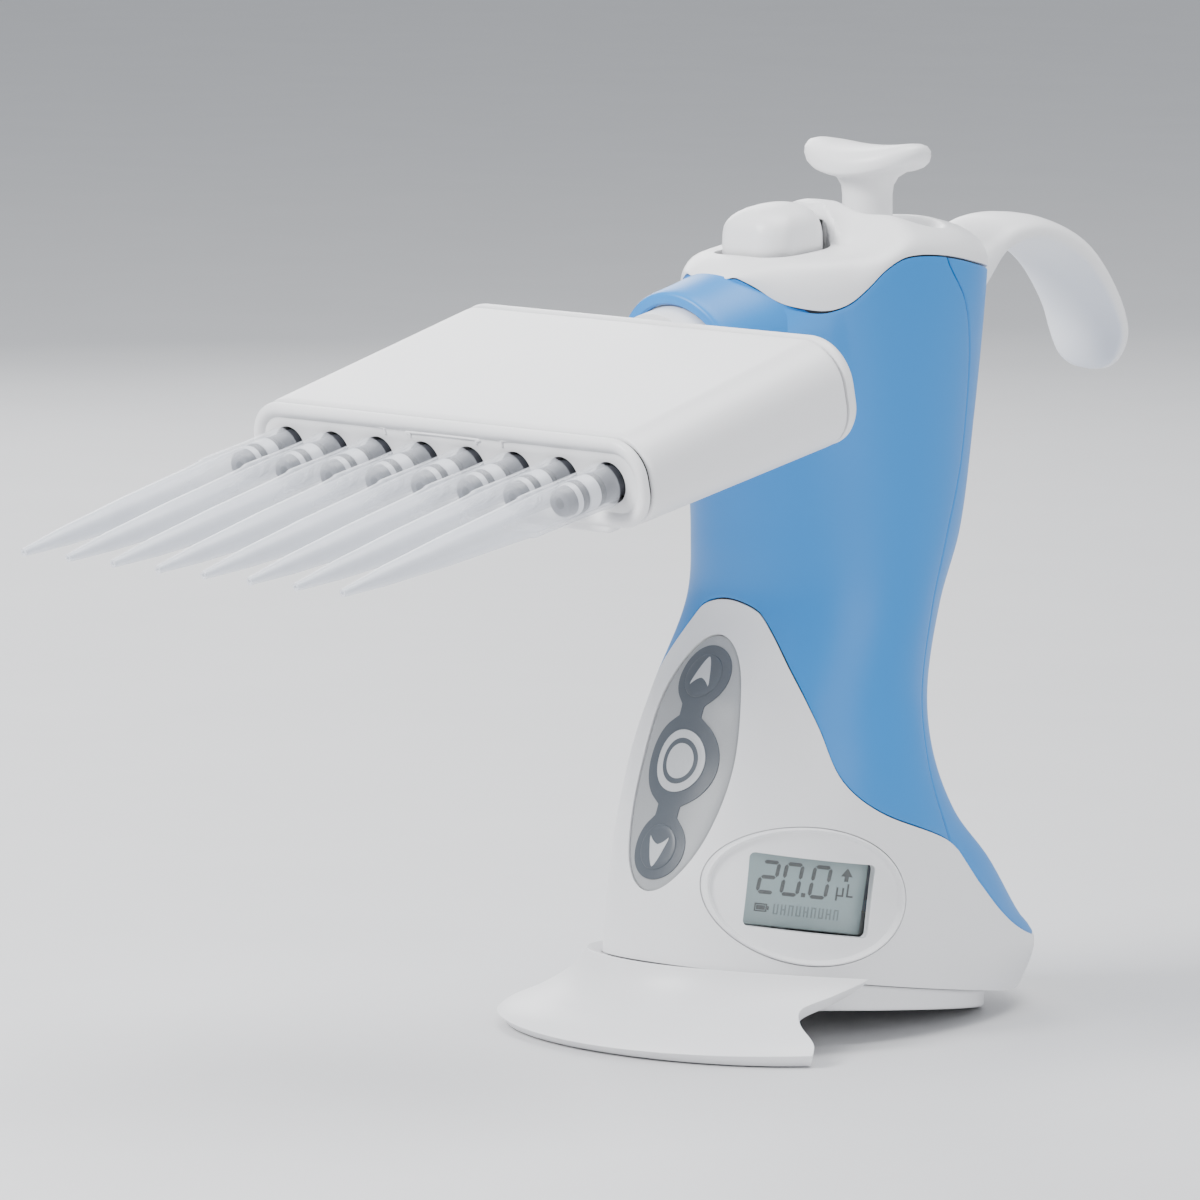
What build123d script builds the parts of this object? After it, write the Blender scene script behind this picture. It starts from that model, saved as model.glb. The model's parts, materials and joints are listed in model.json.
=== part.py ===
"""Eight-channel electronic pipette that stands on its own foot.

Axes: +Z up, the tips point to -Y, the display is on the +X flank.
All pieces are drawn with the thumb knob's axis at X = Y = 0 and the ground at Z = 0,
and are moved along Y by KNOB_Y when they are written, so that the written assembly
has its origin on the ground, under the middle of its bounding box.
"""

import os
from math import cos, pi, radians, sin

from build123d import *

os.makedirs("parts", exist_ok=True)

# ---------------------------------------------------------------- driving dimensions
KNOB_Y = 41.96          # the knob's axis, measured from the middle of the bounding box
WALL = 2.0              # moulded casing wall
WIDE = 70.0             # half width of a cutting tool that goes right through the body
GAP = 0.3               # clearance between pieces that move apart

# Body sections: height, Y of the widest line, half width, reach to the front and back
BODY_SECTIONS = [
    (-2.0, -14.0, 23.2, 31.4, 36.0),
    (4.0, -14.0, 23.7, 31.6, 40.5),
    (9.0, -14.0, 23.8, 31.5, 42.8),
    (13.0, -13.8, 23.8, 31.6, 38.6),
    (22.0, -13.8, 23.3, 30.8, 31.0),
    (30.0, -15.5, 23.2, 26.3, 23.7),
    (39.0, -17.3, 22.0, 21.0, 21.0),
    (48.0, -15.8, 19.7, 19.5, 19.6),
    (60.0, -11.0, 18.4, 17.9, 17.8),
    (70.0, -8.4, 17.9, 20.7, 20.5),
    (85.0, -7.5, 17.6, 23.3, 23.2),
    (103.0, -6.8, 17.5, 25.5, 25.5),
    (112.0, -6.4, 16.8, 27.0, 26.2),
    (122.0, -6.4, 15.5, 27.2, 26.0),
]
SECTION_POINTS = 20     # points on each closed section

# Side-view lines (Y, Z) that divide the casing
BASE_LINE = [(-28.7, 62.2), (-27.9, 60.0), (-28.3, 52.0), (-27.5, 45.0), (-26.0, 37.5),
             (-20.0, 32.5), (-5.3, 26.9), (1.5, 20.7), (11.0, 13.6), (21.7, 9.6), (31.0, 9.0)]
SEAM_LINE = [(-1.5, 116.0), (-0.9, 109.2), (3.5, 103.0), (5.0, 96.0), (4.6, 87.4), (3.0, 79.4),
             (-1.0, 70.0), (-4.5, 59.6), (-7.5, 45.0), (-8.0, 36.0), (-5.5, 27.0), (-3.0, 18.0)]
CAP_LINE = [(-34.0, 109.6), (-30.5, 106.6), (-28.3, 104.5), (-25.7, 103.5), (-22.5, 103.1),
            (-19.5, 104.0), (-16.7, 106.0), (-13.5, 108.5), (-9.4, 110.1), (-1.7, 109.8),
            (9.0, 107.8), (18.0, 106.0), (24.0, 104.6)]
CAP_TOP = [(-33.6, 107.0), (-31.0, 110.4), (-26.5, 112.6), (-20.0, 114.6), (-13.0, 117.0),
           (-8.0, 117.4), (0.0, 116.2), (8.0, 114.4), (15.0, 112.4), (20.5, 109.0), (22.5, 104.0)]
BASE_UNDER = [(-60.0, 14.0), (-39.0, 10.8), (10.0, 3.3), (14.0, 3.0), (30.0, 10.4)]

# Head: the neck axis leans down towards the tips
AXIS_TILT = 12.0
NECK_ORIGIN = (0.0, -30.0, 96.7)
HEAD = Plane(origin=NECK_ORIGIN, x_dir=(1, 0, 0),
             z_dir=(0, -cos(radians(AXIS_TILT)), -sin(radians(AXIS_TILT))))
HEAD_WIDTH = 77.0
HEAD_REAR = 12.0        # distances along the neck axis from its origin
SHELL_REAR = 14.4
SHELL_FRONT = 55.2
PLATE_FRONT = 54.6
COLLAR = 56.1           # rear rim of the tips' collars
HEAD_WALL = 1.4
REAR_SECTION = (15.6, 6.6, 1.1)    # height, corner radius, lift of the centre at the rear
FRONT_SECTION = (12.6, 5.6, 0.0)   # the same at the front
PITCH = 9.0
CHANNELS = 8


def save(part, name):
    """Move a finished piece into the written frame and write it as one STEP file."""
    placed = part.moved(Location((0, KNOB_Y, 0)))
    placed.label = name
    export_step(placed, f"parts/{name}.step")


def section_point(row, grow, angle):
    """Point of a body section, grown outwards, at an angle about its middle."""
    height, wide_y, half_width, front, back = row
    reach = back if sin(angle) > 0 else front
    return ((half_width + grow) * cos(angle), wide_y + (reach + grow) * sin(angle))


def body_solid(grow, lowest=-5.0, highest=130.0):
    """The body's outer form, grown outwards by an amount (inwards when negative)."""
    with BuildPart() as solid:
        for row in BODY_SECTIONS:
            if lowest <= row[0] <= highest:
                with BuildSketch(Plane.XY.offset(row[0])):
                    with BuildLine():
                        steps = [2 * pi * i / SECTION_POINTS for i in range(SECTION_POINTS)]
                        Spline([section_point(row, grow, a) for a in steps], periodic=True)
                    make_face()
        loft()
    return solid.part


def side_region(line, closing, half=WIDE):
    """Solid that fills a side-view region between a smooth line and a polyline."""
    with BuildPart() as region:
        with BuildSketch(Plane.YZ):
            with BuildLine():
                Spline(line)
                Polyline([line[-1]] + closing + [line[0]])
            make_face()
        extrude(amount=half, both=True)
    return region.part


def side_block(points, half=WIDE, middle=0.0):
    """Solid with a straight-sided side-view outline, centred on X = middle."""
    with BuildPart() as block:
        with BuildSketch(Plane.YZ.offset(middle)):
            with BuildLine():
                Polyline(points, close=True)
            make_face()
        extrude(amount=half, both=True)
    return block.part


def ring_along(plane, start, end, outer, inner=0.0, places=((0, 0),)):
    """Round tubes or rods between two distances along a plane's normal."""
    with BuildPart() as ring:
        with BuildSketch(plane.offset(start)):
            with Locations(*places):
                Circle(outer)
                if inner:
                    Circle(inner, mode=Mode.SUBTRACT)
        extrude(amount=end - start)
    return ring.part


def box_along(plane, start, end, width, height, centre=(0, 0), corner=0.0):
    """Block between two distances along a plane's normal, with rounded corners."""
    with BuildPart() as block:
        with BuildSketch(plane.offset(start)):
            with Locations(centre):
                if corner:
                    RectangleRounded(width, height, corner)
                else:
                    Rectangle(width, height)
        extrude(amount=end - start)
    return block.part


def coil(radius, wire, height, turns, plane):
    """Compression spring along a plane's normal."""
    with BuildPart() as spring:
        with BuildLine(plane):
            path = Helix(pitch=height / turns, height=height, radius=radius)
        with BuildSketch(Plane(origin=path @ 0, z_dir=path % 0)):
            Circle(wire)
        sweep(is_frenet=True)
    return spring.part


# ---------------------------------------------------------------- casing
outer_form = body_solid(0.0)
inner_form = body_solid(-WALL)
far = [(80.0, -30.0), (-80.0, -30.0)]
base_region = side_region(BASE_LINE, [(80.0, 9.0)] + far + [(-80.0, 62.2)])
cap_region = side_region(CAP_LINE, [(80.0, 104.6), (80.0, 140.0), (-80.0, 140.0), (-80.0, 109.6)])
back_region = side_region(SEAM_LINE, [(-3.0, -20.0), (80.0, -20.0), (80.0, 116.0)])
under_block = side_block(BASE_UNDER + [(80.0, 30.0), (80.0, -40.0), (-80.0, -40.0), (-80.0, 14.0)])
over_block = side_region(CAP_TOP, [(60.0, 100.0), (60.0, 150.0), (-60.0, 150.0), (-60.0, 107.0)])

BOSS_RADII = (15.4, 11.4)
BOSS_BORE = 10.5
BOSS_START = -12.0
BOSS_END = 8.5
BOSS_LIP = 1.0          # front wall of the boss, behind which the swivel flange sits
NECK_HOLE = 9.6
with BuildPart() as boss:
    for distance, radius in zip((BOSS_START, BOSS_END), BOSS_RADII):
        with BuildSketch(HEAD.offset(distance)):
            Circle(radius)
    loft()
boss_bore = ring_along(HEAD, BOSS_START - 2.0, BOSS_END - BOSS_LIP, BOSS_BORE)
boss_mouth = ring_along(HEAD, BOSS_START, BOSS_END + 2.0, NECK_HOLE)

with BuildPart() as front_shell:
    add(outer_form)
    add(boss.part)
    add(inner_form, mode=Mode.SUBTRACT)
    add(boss_bore, mode=Mode.SUBTRACT)
    add(boss_mouth, mode=Mode.SUBTRACT)
    add(base_region, mode=Mode.SUBTRACT)
    add(cap_region, mode=Mode.SUBTRACT)
    add(back_region, mode=Mode.SUBTRACT)

with BuildPart() as back_cover:
    add(outer_form)
    add(inner_form, mode=Mode.SUBTRACT)
    add(base_region, mode=Mode.SUBTRACT)
    add(cap_region, mode=Mode.SUBTRACT)
    add(back_region, mode=Mode.INTERSECT)

front_casing = max(front_shell.part.solids(), key=lambda s: s.volume)
save(front_casing, "front_shell")
save(back_cover.part, "back_cover")

# Top cap: a shell with a bowl for the thumb knob and a pocket for the trigger
BOWL_RIM = (11.9, 9.2)
BOWL_FLOOR = (11.0, 6.8)
BOWL_TOP = 118.5
BOWL_BOTTOM = 110.6
BOWL_WALL = 1.5
ROD_RADIUS = 2.5
STEM_RADIUS = 3.6
TRIGGER_SIZE = (13.0, 13.0)
TRIGGER_Y = -19.5
TRIGGER_BOTTOM = 110.2
TRIGGER_TOP = 118.0
POCKET_FLOOR = 108.5
POCKET_WALL = 1.2
CAP_WALL = 2.2


def bowl_form(grow):
    """Tapered oval form of the knob's bowl, grown outwards."""
    with BuildPart() as form:
        with BuildSketch(Plane.XY.offset(BOWL_BOTTOM - grow)):
            Ellipse(BOWL_FLOOR[0] + grow, BOWL_FLOOR[1] + grow)
        with BuildSketch(Plane.XY.offset(BOWL_TOP)):
            Ellipse(BOWL_RIM[0] + grow, BOWL_RIM[1] + grow)
        loft()
    return form.part


def pocket_form(grow, floor):
    """Rounded well that the trigger block sits in."""
    with BuildPart() as form:
        with BuildSketch(Plane.XY.offset(floor)):
            with Locations((0, TRIGGER_Y)):
                RectangleRounded(TRIGGER_SIZE[0] + 2 * grow, TRIGGER_SIZE[1] + 2 * grow, 3.4 + grow)
        extrude(amount=20.0)
    return form.part


cavity = inner_form - over_block.moved(Location((0, 0, -CAP_WALL)))

with BuildPart() as cap_form:
    add(outer_form)
    add(cap_region, mode=Mode.INTERSECT)
    add(over_block, mode=Mode.SUBTRACT)

with BuildPart() as cap_wells:
    add(bowl_form(BOWL_WALL))
    add(pocket_form(GAP + POCKET_WALL, POCKET_FLOOR - POCKET_WALL))
    add(outer_form, mode=Mode.INTERSECT)
    add(over_block, mode=Mode.SUBTRACT)

with BuildPart() as top_cap:
    add(cap_form.part)
    add(cavity, mode=Mode.SUBTRACT)
    add(cap_wells.part)
    add(bowl_form(0.0), mode=Mode.SUBTRACT)
    add(pocket_form(GAP, POCKET_FLOOR), mode=Mode.SUBTRACT)
    add(ring_along(Plane.XY, 100.0, 112.0, STEM_RADIUS + GAP), mode=Mode.SUBTRACT)

save(top_cap.part, "top_cap")

# Base housing: closed below by a floor that the foot is screwed to
FLOOR = 2.0
POST_PLACES = [(-8.0, -26.0), (8.0, -26.0), (-8.0, 1.0), (8.0, 1.0)]
POST_RADIUS = 3.2
POST_TOP = 20.0
SCREW_BORE = 1.2
base_cavity = inner_form - under_block.moved(Location((0, 0, FLOOR)))

with BuildPart() as base_posts:
    add(ring_along(Plane.XY, 4.0, POST_TOP, POST_RADIUS, places=POST_PLACES))
    add(under_block, mode=Mode.SUBTRACT)

# Keypad: an oval panel that follows the nose of the base
KEYPAD_CENTRE = (0.0, -37.3, 39.3)
KEYPAD_LEAN = 21.0
KEYPAD = Plane(origin=KEYPAD_CENTRE, x_dir=(1, 0, 0),
               z_dir=(0, -cos(radians(KEYPAD_LEAN)), sin(radians(KEYPAD_LEAN))))
KEYPAD_OVAL = (8.9, 19.0)
PANEL_DEPTH = 0.5       # the panel's face below the casing's face
PANEL_THICK = 1.1
KEY_STEP = 12.6
KEY_RADIUS = 3.3
ENTER_RADIUS = 4.6
OVERLAY_RADII = (4.6, 6.6)
NECK_HALF = 2.0

# Display: an oval bezel and a window on the right-hand flank
DISPLAY_CENTRE = (18.2, -30.4, 21.5)
DISPLAY_TURN = 25.0
DISPLAY_DROP = 8.5
display_right = Vector(sin(radians(DISPLAY_TURN)), cos(radians(DISPLAY_TURN)), 0)
display_out = Vector(cos(radians(DISPLAY_TURN)), -sin(radians(DISPLAY_TURN)), 0)
display_x = display_right.rotate(Axis((0, 0, 0), tuple(display_out)), -DISPLAY_DROP)
DISPLAY = Plane(origin=DISPLAY_CENTRE, x_dir=display_x, z_dir=display_out)
DISPLAY_OVAL = (15.2, 9.8)
DISPLAY_WINDOW = (18.6, 10.4)
BEZEL_DEPTH = 0.4
BEZEL_THICK = 1.0


def oval_through(plane, half_x, half_y, reach=14.0):
    """Oval plug through the casing wall."""
    with BuildPart() as plug:
        with BuildSketch(plane):
            Ellipse(half_x, half_y)
        extrude(amount=reach, both=True)
    return plug.part


def skin(depth, thick):
    """Layer of the base's form between two depths below its face."""
    return body_solid(-depth, -5.0, 70.0) - body_solid(-depth - thick, -5.0, 70.0)


panel_skin = skin(PANEL_DEPTH, PANEL_THICK)
recess_skin = skin(-3.0, 3.0 + PANEL_DEPTH + PANEL_THICK)
window_plug = box_along(DISPLAY, -14.0, 14.0, *DISPLAY_WINDOW, corner=0.8)


# Display pieces: bezel with the window opening, clear window and the panel behind it
bezel_skin = skin(BEZEL_DEPTH, BEZEL_THICK)
with BuildPart() as display_bezel:
    add(bezel_skin)
    add(oval_through(DISPLAY, *DISPLAY_OVAL), mode=Mode.INTERSECT)
    add(window_plug, mode=Mode.SUBTRACT)
bezel_side = display_bezel.part.solids().sort_by(Axis.X)[-1]
save(bezel_side, "display_bezel")

LCD_DEPTH = 2.7
window_size = (DISPLAY_WINDOW[0] - 0.2, DISPLAY_WINDOW[1] - 0.2)
save(box_along(DISPLAY, -2.6, -1.6, *window_size, corner=0.7), "display_window")
save(box_along(DISPLAY, -LCD_DEPTH - 1.6, -LCD_DEPTH, *window_size, corner=0.5), "lcd_panel")

# Keypad pieces
key_places = [(0, KEY_STEP), (0, 0), (0, -KEY_STEP)]
key_names = ["key_up", "key_enter", "key_down"]
key_radii = [KEY_RADIUS, ENTER_RADIUS, KEY_RADIUS]
overlay_skin = skin(PANEL_DEPTH - 0.3, 0.3)
key_skin = skin(-0.1, 1.7)


def blob_through(plane, reach=14.0):
    """Plug with the outline of three discs joined by necks."""
    with BuildPart() as plug:
        with BuildSketch(plane):
            Circle(OVERLAY_RADII[1])
            with Locations(key_places[0], key_places[2]):
                Circle(OVERLAY_RADII[0])
            Rectangle(2 * NECK_HALF, 2 * KEY_STEP)
        extrude(amount=reach, both=True)
    return plug.part


def keys_through(grow, reach=14.0):
    """Plugs with the outlines of the three keys."""
    with BuildPart() as plug:
        for place, radius in zip(key_places, key_radii):
            with BuildSketch(KEYPAD):
                with Locations(place):
                    Circle(radius + grow)
            extrude(amount=reach, both=True)
    return plug.part


def front_side(part):
    """The solid of a cut form that lies at the front of the object."""
    return part.solids().sort_by(Axis.Y)[0]


with BuildPart() as base_housing:
    add(outer_form)
    add(base_region, mode=Mode.INTERSECT)
    add(under_block, mode=Mode.SUBTRACT)
    add(base_cavity, mode=Mode.SUBTRACT)
    add(base_posts.part)
    add(ring_along(Plane.XY, 0.0, POST_TOP - 2.0, SCREW_BORE, places=POST_PLACES), mode=Mode.SUBTRACT)
    add(recess_skin & oval_through(KEYPAD, *KEYPAD_OVAL), mode=Mode.SUBTRACT)
    add(recess_skin & oval_through(DISPLAY, *DISPLAY_OVAL), mode=Mode.SUBTRACT)
    add(window_plug, mode=Mode.SUBTRACT)
    add(keys_through(GAP), mode=Mode.SUBTRACT)

save(base_housing.part, "base_housing")

with BuildPart() as keypad_panel:
    add(panel_skin)
    add(oval_through(KEYPAD, KEYPAD_OVAL[0] - 0.1, KEYPAD_OVAL[1] - 0.1), mode=Mode.INTERSECT)
    add(keys_through(GAP), mode=Mode.SUBTRACT)
save(front_side(keypad_panel.part), "keypad_panel")

with BuildPart() as keypad_overlay:
    add(overlay_skin)
    add(blob_through(KEYPAD), mode=Mode.INTERSECT)
    add(keys_through(GAP), mode=Mode.SUBTRACT)
save(front_side(keypad_overlay.part), "keypad_overlay")

for place, radius, name in zip(key_places, key_radii, key_names):
    with BuildPart() as key_plug:
        with BuildSketch(KEYPAD):
            with Locations(place):
                Circle(radius)
        extrude(amount=14.0, both=True)
    save(front_side(key_skin & key_plug.part), name)

# Foot: a plinth under the base and an apron that flares to the ground at the front
FOOT_HALF = 34.0
FOOT_REACH = 20.5
FOOT_MIDDLE = -36.0
FLARE = [(-1.0, 1.06), (0.0, 1.0), (1.2, 0.9), (3.2, 0.62), (5.6, 0.34), (8.4, 0.13),
         (11.4, 0.02), (14.0, 0.0)]
APRON_WALL = 2.4
PLINTH_INSET = 0.6
PLINTH_UNDER = [(-46.0, 5.6), (-34.0, 5.4), (-20.0, 4.4), (-6.0, 2.9), (6.0, 1.2), (12.4, 0.0)]
APRON_REAR = [(-40.5, -2.0), (-40.5, 0.0), (-38.0, 1.3), (-36.2, 3.4), (-35.2, 6.0), (-31.0, 8.0)]


def apron_form(grow, drop):
    """Flared form between the base's outline and the ground outline."""
    with BuildPart() as form:
        for height, share in FLARE:
            with BuildSketch(Plane.XY.offset(height - drop)):
                points = []
                for i in range(SECTION_POINTS):
                    angle = 2 * pi * i / SECTION_POINTS
                    x, y = section_point(BODY_SECTIONS[2], grow - 0.2, angle)
                    foot_x = (FOOT_HALF + grow) * cos(angle)
                    foot_y = FOOT_MIDDLE + (FOOT_REACH + grow) * sin(angle)
                    points.append((x + share * (foot_x - x), y + share * (foot_y - y)))
                with BuildLine():
                    Spline(points, periodic=True)
                make_face()
        loft()
    return form.part


apron_keep = side_block(APRON_REAR + [(-31.0, 30.0), (-90.0, 30.0), (-90.0, -2.0)])
ground_cut = side_block([(-90.0, 0.0), (60.0, 0.0), (60.0, -20.0), (-90.0, -20.0)])
plinth_under = side_region(PLINTH_UNDER, [(60.0, 0.0), (60.0, -20.0), (-90.0, -20.0), (-90.0, 5.6)])

with BuildPart() as apron:
    add(apron_form(0.0, 0.0))
    add(apron_form(-APRON_WALL, 1.0), mode=Mode.SUBTRACT)
    add(apron_keep, mode=Mode.INTERSECT)

with BuildPart() as plinth:
    add(body_solid(-PLINTH_INSET, -5.0, 23.0))
    add(plinth_under, mode=Mode.SUBTRACT)
    add(side_block([(16.5, -5.0), (17.6, 4.7), (19.0, 20.0), (60.0, 20.0), (60.0, -5.0)]),
        mode=Mode.SUBTRACT)

foot_holes = ring_along(Plane.XY, -1.0, 20.0, SCREW_BORE + 0.3, places=POST_PLACES)
with BuildPart() as foot:
    add(apron.part)
    add(plinth.part)
    add(under_block, mode=Mode.INTERSECT)
    add(ground_cut, mode=Mode.SUBTRACT)
    add(foot_holes, mode=Mode.SUBTRACT)
foot_piece = max(foot.part.solids(), key=lambda s: s.volume)
save(foot_piece, "foot")

# Finger hook: a curved blade at the back
HOOK_HALF = 7.6
HOOK_OUTER = [(15.0, 108.8), (19.5, 110.3), (25.0, 112.6), (32.0, 112.4), (40.5, 108.6),
              (47.0, 101.5), (49.6, 95.0), (49.2, 90.6)]
HOOK_INNER = [(45.2, 89.6), (45.6, 94.6), (43.8, 99.4), (38.6, 105.0), (31.6, 108.6),
              (25.6, 109.2), (21.2, 107.4), (18.6, 103.4), (17.2, 100.0)]
with BuildPart() as finger_hook:
    with BuildSketch(Plane.YZ):
        with BuildLine():
            Spline(HOOK_OUTER)
            ThreePointArc(HOOK_OUTER[-1], (47.0, 88.4), HOOK_INNER[0])
            Spline(HOOK_INNER)
            Line(HOOK_INNER[-1], HOOK_OUTER[0])
        make_face()
    extrude(amount=HOOK_HALF, both=True)
    with BuildSketch(Plane.XZ.offset(-60.0)):
        with Locations((0, 104.0)):
            RectangleRounded(2 * HOOK_HALF, 31.2, 6.6)
    extrude(amount=60.0, mode=Mode.INTERSECT)
    add(outer_form, mode=Mode.SUBTRACT)
hook_piece = max(finger_hook.part.solids(), key=lambda s: s.volume)
save(hook_piece, "finger_hook")

# ---------------------------------------------------------------- head
channel_places = [((i - (CHANNELS - 1) / 2) * PITCH, 0) for i in range(CHANNELS)]
rod_places = [(-2 * PITCH, 0), (2 * PITCH, 0)]
STRIPPER_ROD = 1.2
LIP_HALF = 31.0
LIP_DROP = 7.4


def head_form(inset, start, end):
    """The head's outer form between two distances, inset by a wall."""
    with BuildPart() as form:
        for distance in (start, end):
            share = (distance - SHELL_REAR) / (SHELL_FRONT - SHELL_REAR)
            height, corner, lift = [rear + share * (front - rear)
                                    for rear, front in zip(REAR_SECTION, FRONT_SECTION)]
            with BuildSketch(HEAD.offset(distance)):
                with Locations((0, lift)):
                    RectangleRounded(HEAD_WIDTH - 2 * inset, height - 2 * inset, corner - inset)
        loft()
    return form.part


with BuildPart() as manifold_shell:
    add(head_form(0.0, SHELL_REAR, SHELL_FRONT))
    add(head_form(HEAD_WALL, SHELL_REAR - 2.0, SHELL_FRONT + 2.0), mode=Mode.SUBTRACT)
    add(box_along(HEAD, PLATE_FRONT - 2.8, 60.0, 2 * (LIP_HALF + GAP), 6.0, centre=(0, -7.2)),
        mode=Mode.SUBTRACT)
save(manifold_shell.part, "manifold_shell")

COLLAR_BORE = 5.2
with BuildPart() as rear_cover:
    add(head_form(0.0, HEAD_REAR, SHELL_REAR))
    add(ring_along(HEAD, HEAD_REAR - 1.0, SHELL_REAR + 1.0, COLLAR_BORE), mode=Mode.SUBTRACT)
save(rear_cover.part, "manifold_rear_cover")

# Swivel collar: a journal in the boss's mouth, held by a snap flange behind the lip
with BuildPart() as swivel_collar:
    add(ring_along(HEAD, 6.6, HEAD_REAR, NECK_HOLE - GAP, COLLAR_BORE))
    add(ring_along(HEAD, 6.2, BOSS_END - BOSS_LIP - GAP, BOSS_BORE - GAP, COLLAR_BORE))
save(swivel_collar.part, "swivel_collar")

BLOCK_START = 37.0
BLOCK_END = 50.0
PISTON_RADIUS = 1.3
with BuildPart() as nozzle_block:
    add(box_along(HEAD, BLOCK_START, BLOCK_END, 73.0, 9.4, corner=3.6))
    add(ring_along(HEAD, BLOCK_START - 1, BLOCK_END - 4.0, PISTON_RADIUS + GAP,
                   places=channel_places), mode=Mode.SUBTRACT)
    add(ring_along(HEAD, BLOCK_END - 4.0, BLOCK_END + 1, 2.35, places=channel_places),
        mode=Mode.SUBTRACT)
    add(ring_along(HEAD, BLOCK_START - 1, BLOCK_END + 1, STRIPPER_ROD + GAP,
                   places=rod_places), mode=Mode.SUBTRACT)
save(nozzle_block.part, "nozzle_block")

# Nozzles: stepped cones with two seal grooves, bored for the pistons
NOZZLE_PROFILE = [(1.6, 46.0), (2.35, 46.0), (2.35, 57.9), (1.9, 57.9), (1.9, 58.7), (2.3, 58.7),
                  (2.3, 61.2), (1.8, 61.2), (1.8, 62.0), (2.2, 62.0), (2.05, 64.6), (0.8, 64.6),
                  (0.8, 56.4), (1.6, 56.4)]
SEAL_RINGS = [(57.9, 1.9), (61.2, 1.8)]
SEAL_LENGTH = 0.8
SEAL_RADIUS = 2.42


def turned(profile, places):
    """Pieces turned about axes parallel to the neck axis."""
    with BuildPart() as piece:
        for x, height in places:
            origin = HEAD.from_local_coords((x, height, 0))
            with BuildSketch(Plane(origin=origin, x_dir=(1, 0, 0), z_dir=-HEAD.y_dir)):
                with BuildLine():
                    Polyline(profile, close=True)
                make_face()
            revolve(axis=Axis(origin, HEAD.z_dir))
    return piece.part


save(turned(NOZZLE_PROFILE, channel_places), "nozzles")
with BuildPart() as nozzle_seals:
    for start, inner in SEAL_RINGS:
        add(ring_along(HEAD, start, start + SEAL_LENGTH, SEAL_RADIUS, inner, channel_places))
save(nozzle_seals.part, "nozzle_seals")

# Pipette tips: a straight collar, a step and a long hollow cone
TIP_LENGTH = 49.7
tip_outside = [(3.25, 0.0), (3.25, 0.8), (3.1, 1.2), (3.05, 14.6), (2.75, 15.2), (2.1, 30.4),
               (1.35, 42.0), (0.55, TIP_LENGTH)]
tip_inside = [(0.2, TIP_LENGTH), (0.95, 42.0), (1.65, 30.4), (2.3, 15.2), (2.74, 8.0), (2.78, 0.0)]
tip_profile = [(r, COLLAR + d) for r, d in tip_outside + tip_inside]
save(turned(tip_profile, channel_places), "pipette_tips")

CARRIER_START = 23.2
CARRIER_THICK = 3.0
with BuildPart() as piston_carrier:
    add(box_along(HEAD, CARRIER_START, CARRIER_START + CARRIER_THICK, 70.0, 7.0, corner=2.0))
    add(ring_along(HEAD, CARRIER_START - 1, CARRIER_START + 5, STRIPPER_ROD + GAP,
                   places=rod_places), mode=Mode.SUBTRACT)
save(piston_carrier.part, "piston_carrier")
save(ring_along(HEAD, CARRIER_START + CARRIER_THICK, 45.6, PISTON_RADIUS, places=channel_places),
     "pistons")

BRIDGE_START = 15.2
BRIDGE_THICK = 1.5
with BuildPart() as stripper_bridge:
    add(box_along(HEAD, BRIDGE_START, BRIDGE_START + BRIDGE_THICK, 46.0, 10.0, corner=3.0))
    add(ring_along(HEAD, BRIDGE_START - 1, BRIDGE_START + 3, 2.0 + 2 * GAP), mode=Mode.SUBTRACT)
save(stripper_bridge.part, "stripper_bridge")
PLATE_THICK = 2.6
save(ring_along(HEAD, BRIDGE_START + BRIDGE_THICK, PLATE_FRONT - PLATE_THICK, STRIPPER_ROD,
                places=rod_places), "stripper_rods")
with BuildPart() as stripper_plate:
    add(box_along(HEAD, PLATE_FRONT - PLATE_THICK, PLATE_FRONT, HEAD_WIDTH - 2 * HEAD_WALL - 0.6,
                  FRONT_SECTION[0] - 2 * HEAD_WALL - 0.6, corner=3.9))
    add(box_along(HEAD, PLATE_FRONT - 2.2, PLATE_FRONT, 2 * LIP_HALF, LIP_DROP - 3.0,
                  centre=(0, -(LIP_DROP + 3.0) / 2), corner=1.0))
    add(ring_along(HEAD, 50.0, 60.0, 2.95, places=channel_places), mode=Mode.SUBTRACT)
save(stripper_plate.part, "stripper_plate")

# ---------------------------------------------------------------- mechanism in the body
SCREW_RADIUS = 2.0
SCREW_REAR = -27.0
MOTOR_RADIUS = 6.6
MOTOR_SPAN = (-17.0, -6.0)
MOUNT_SPAN = (-6.0, -3.5)
save(ring_along(HEAD, SCREW_REAR, CARRIER_START, SCREW_RADIUS), "drive_screw")
save(ring_along(HEAD, *MOTOR_SPAN, MOTOR_RADIUS, SCREW_RADIUS + GAP), "actuator_motor")
save(ring_along(HEAD, MOUNT_SPAN[1], 14.2, 3.9, SCREW_RADIUS + GAP), "neck_tube")

SPINE_Y = (-25.0, -23.0)
SPINE_LOW = 21.0
SHELF_UPPER = (85.0, 87.0)
SHELF_LOWER = (68.0, 70.0)
with BuildPart() as chassis:
    add(box_along(HEAD, *MOUNT_SPAN, 15.0, 13.0, centre=(0, -1.5)))
    add(side_block([(SPINE_Y[0], SPINE_LOW), (SPINE_Y[1], SPINE_LOW), (SPINE_Y[1], 90.0),
                    (SPINE_Y[0], 90.0)], half=6.0))
    for low, high in (SHELF_UPPER, SHELF_LOWER):
        add(side_block([(SPINE_Y[0], low), (4.0, low), (4.0, high), (SPINE_Y[0], high)], half=6.0))
    add(ring_along(HEAD, -10.0, 0.0, SCREW_RADIUS + GAP), mode=Mode.SUBTRACT)
    add(ring_along(Plane.XY, 80.0, 95.0, ROD_RADIUS + GAP), mode=Mode.SUBTRACT)
save(chassis.part, "chassis")

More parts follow.
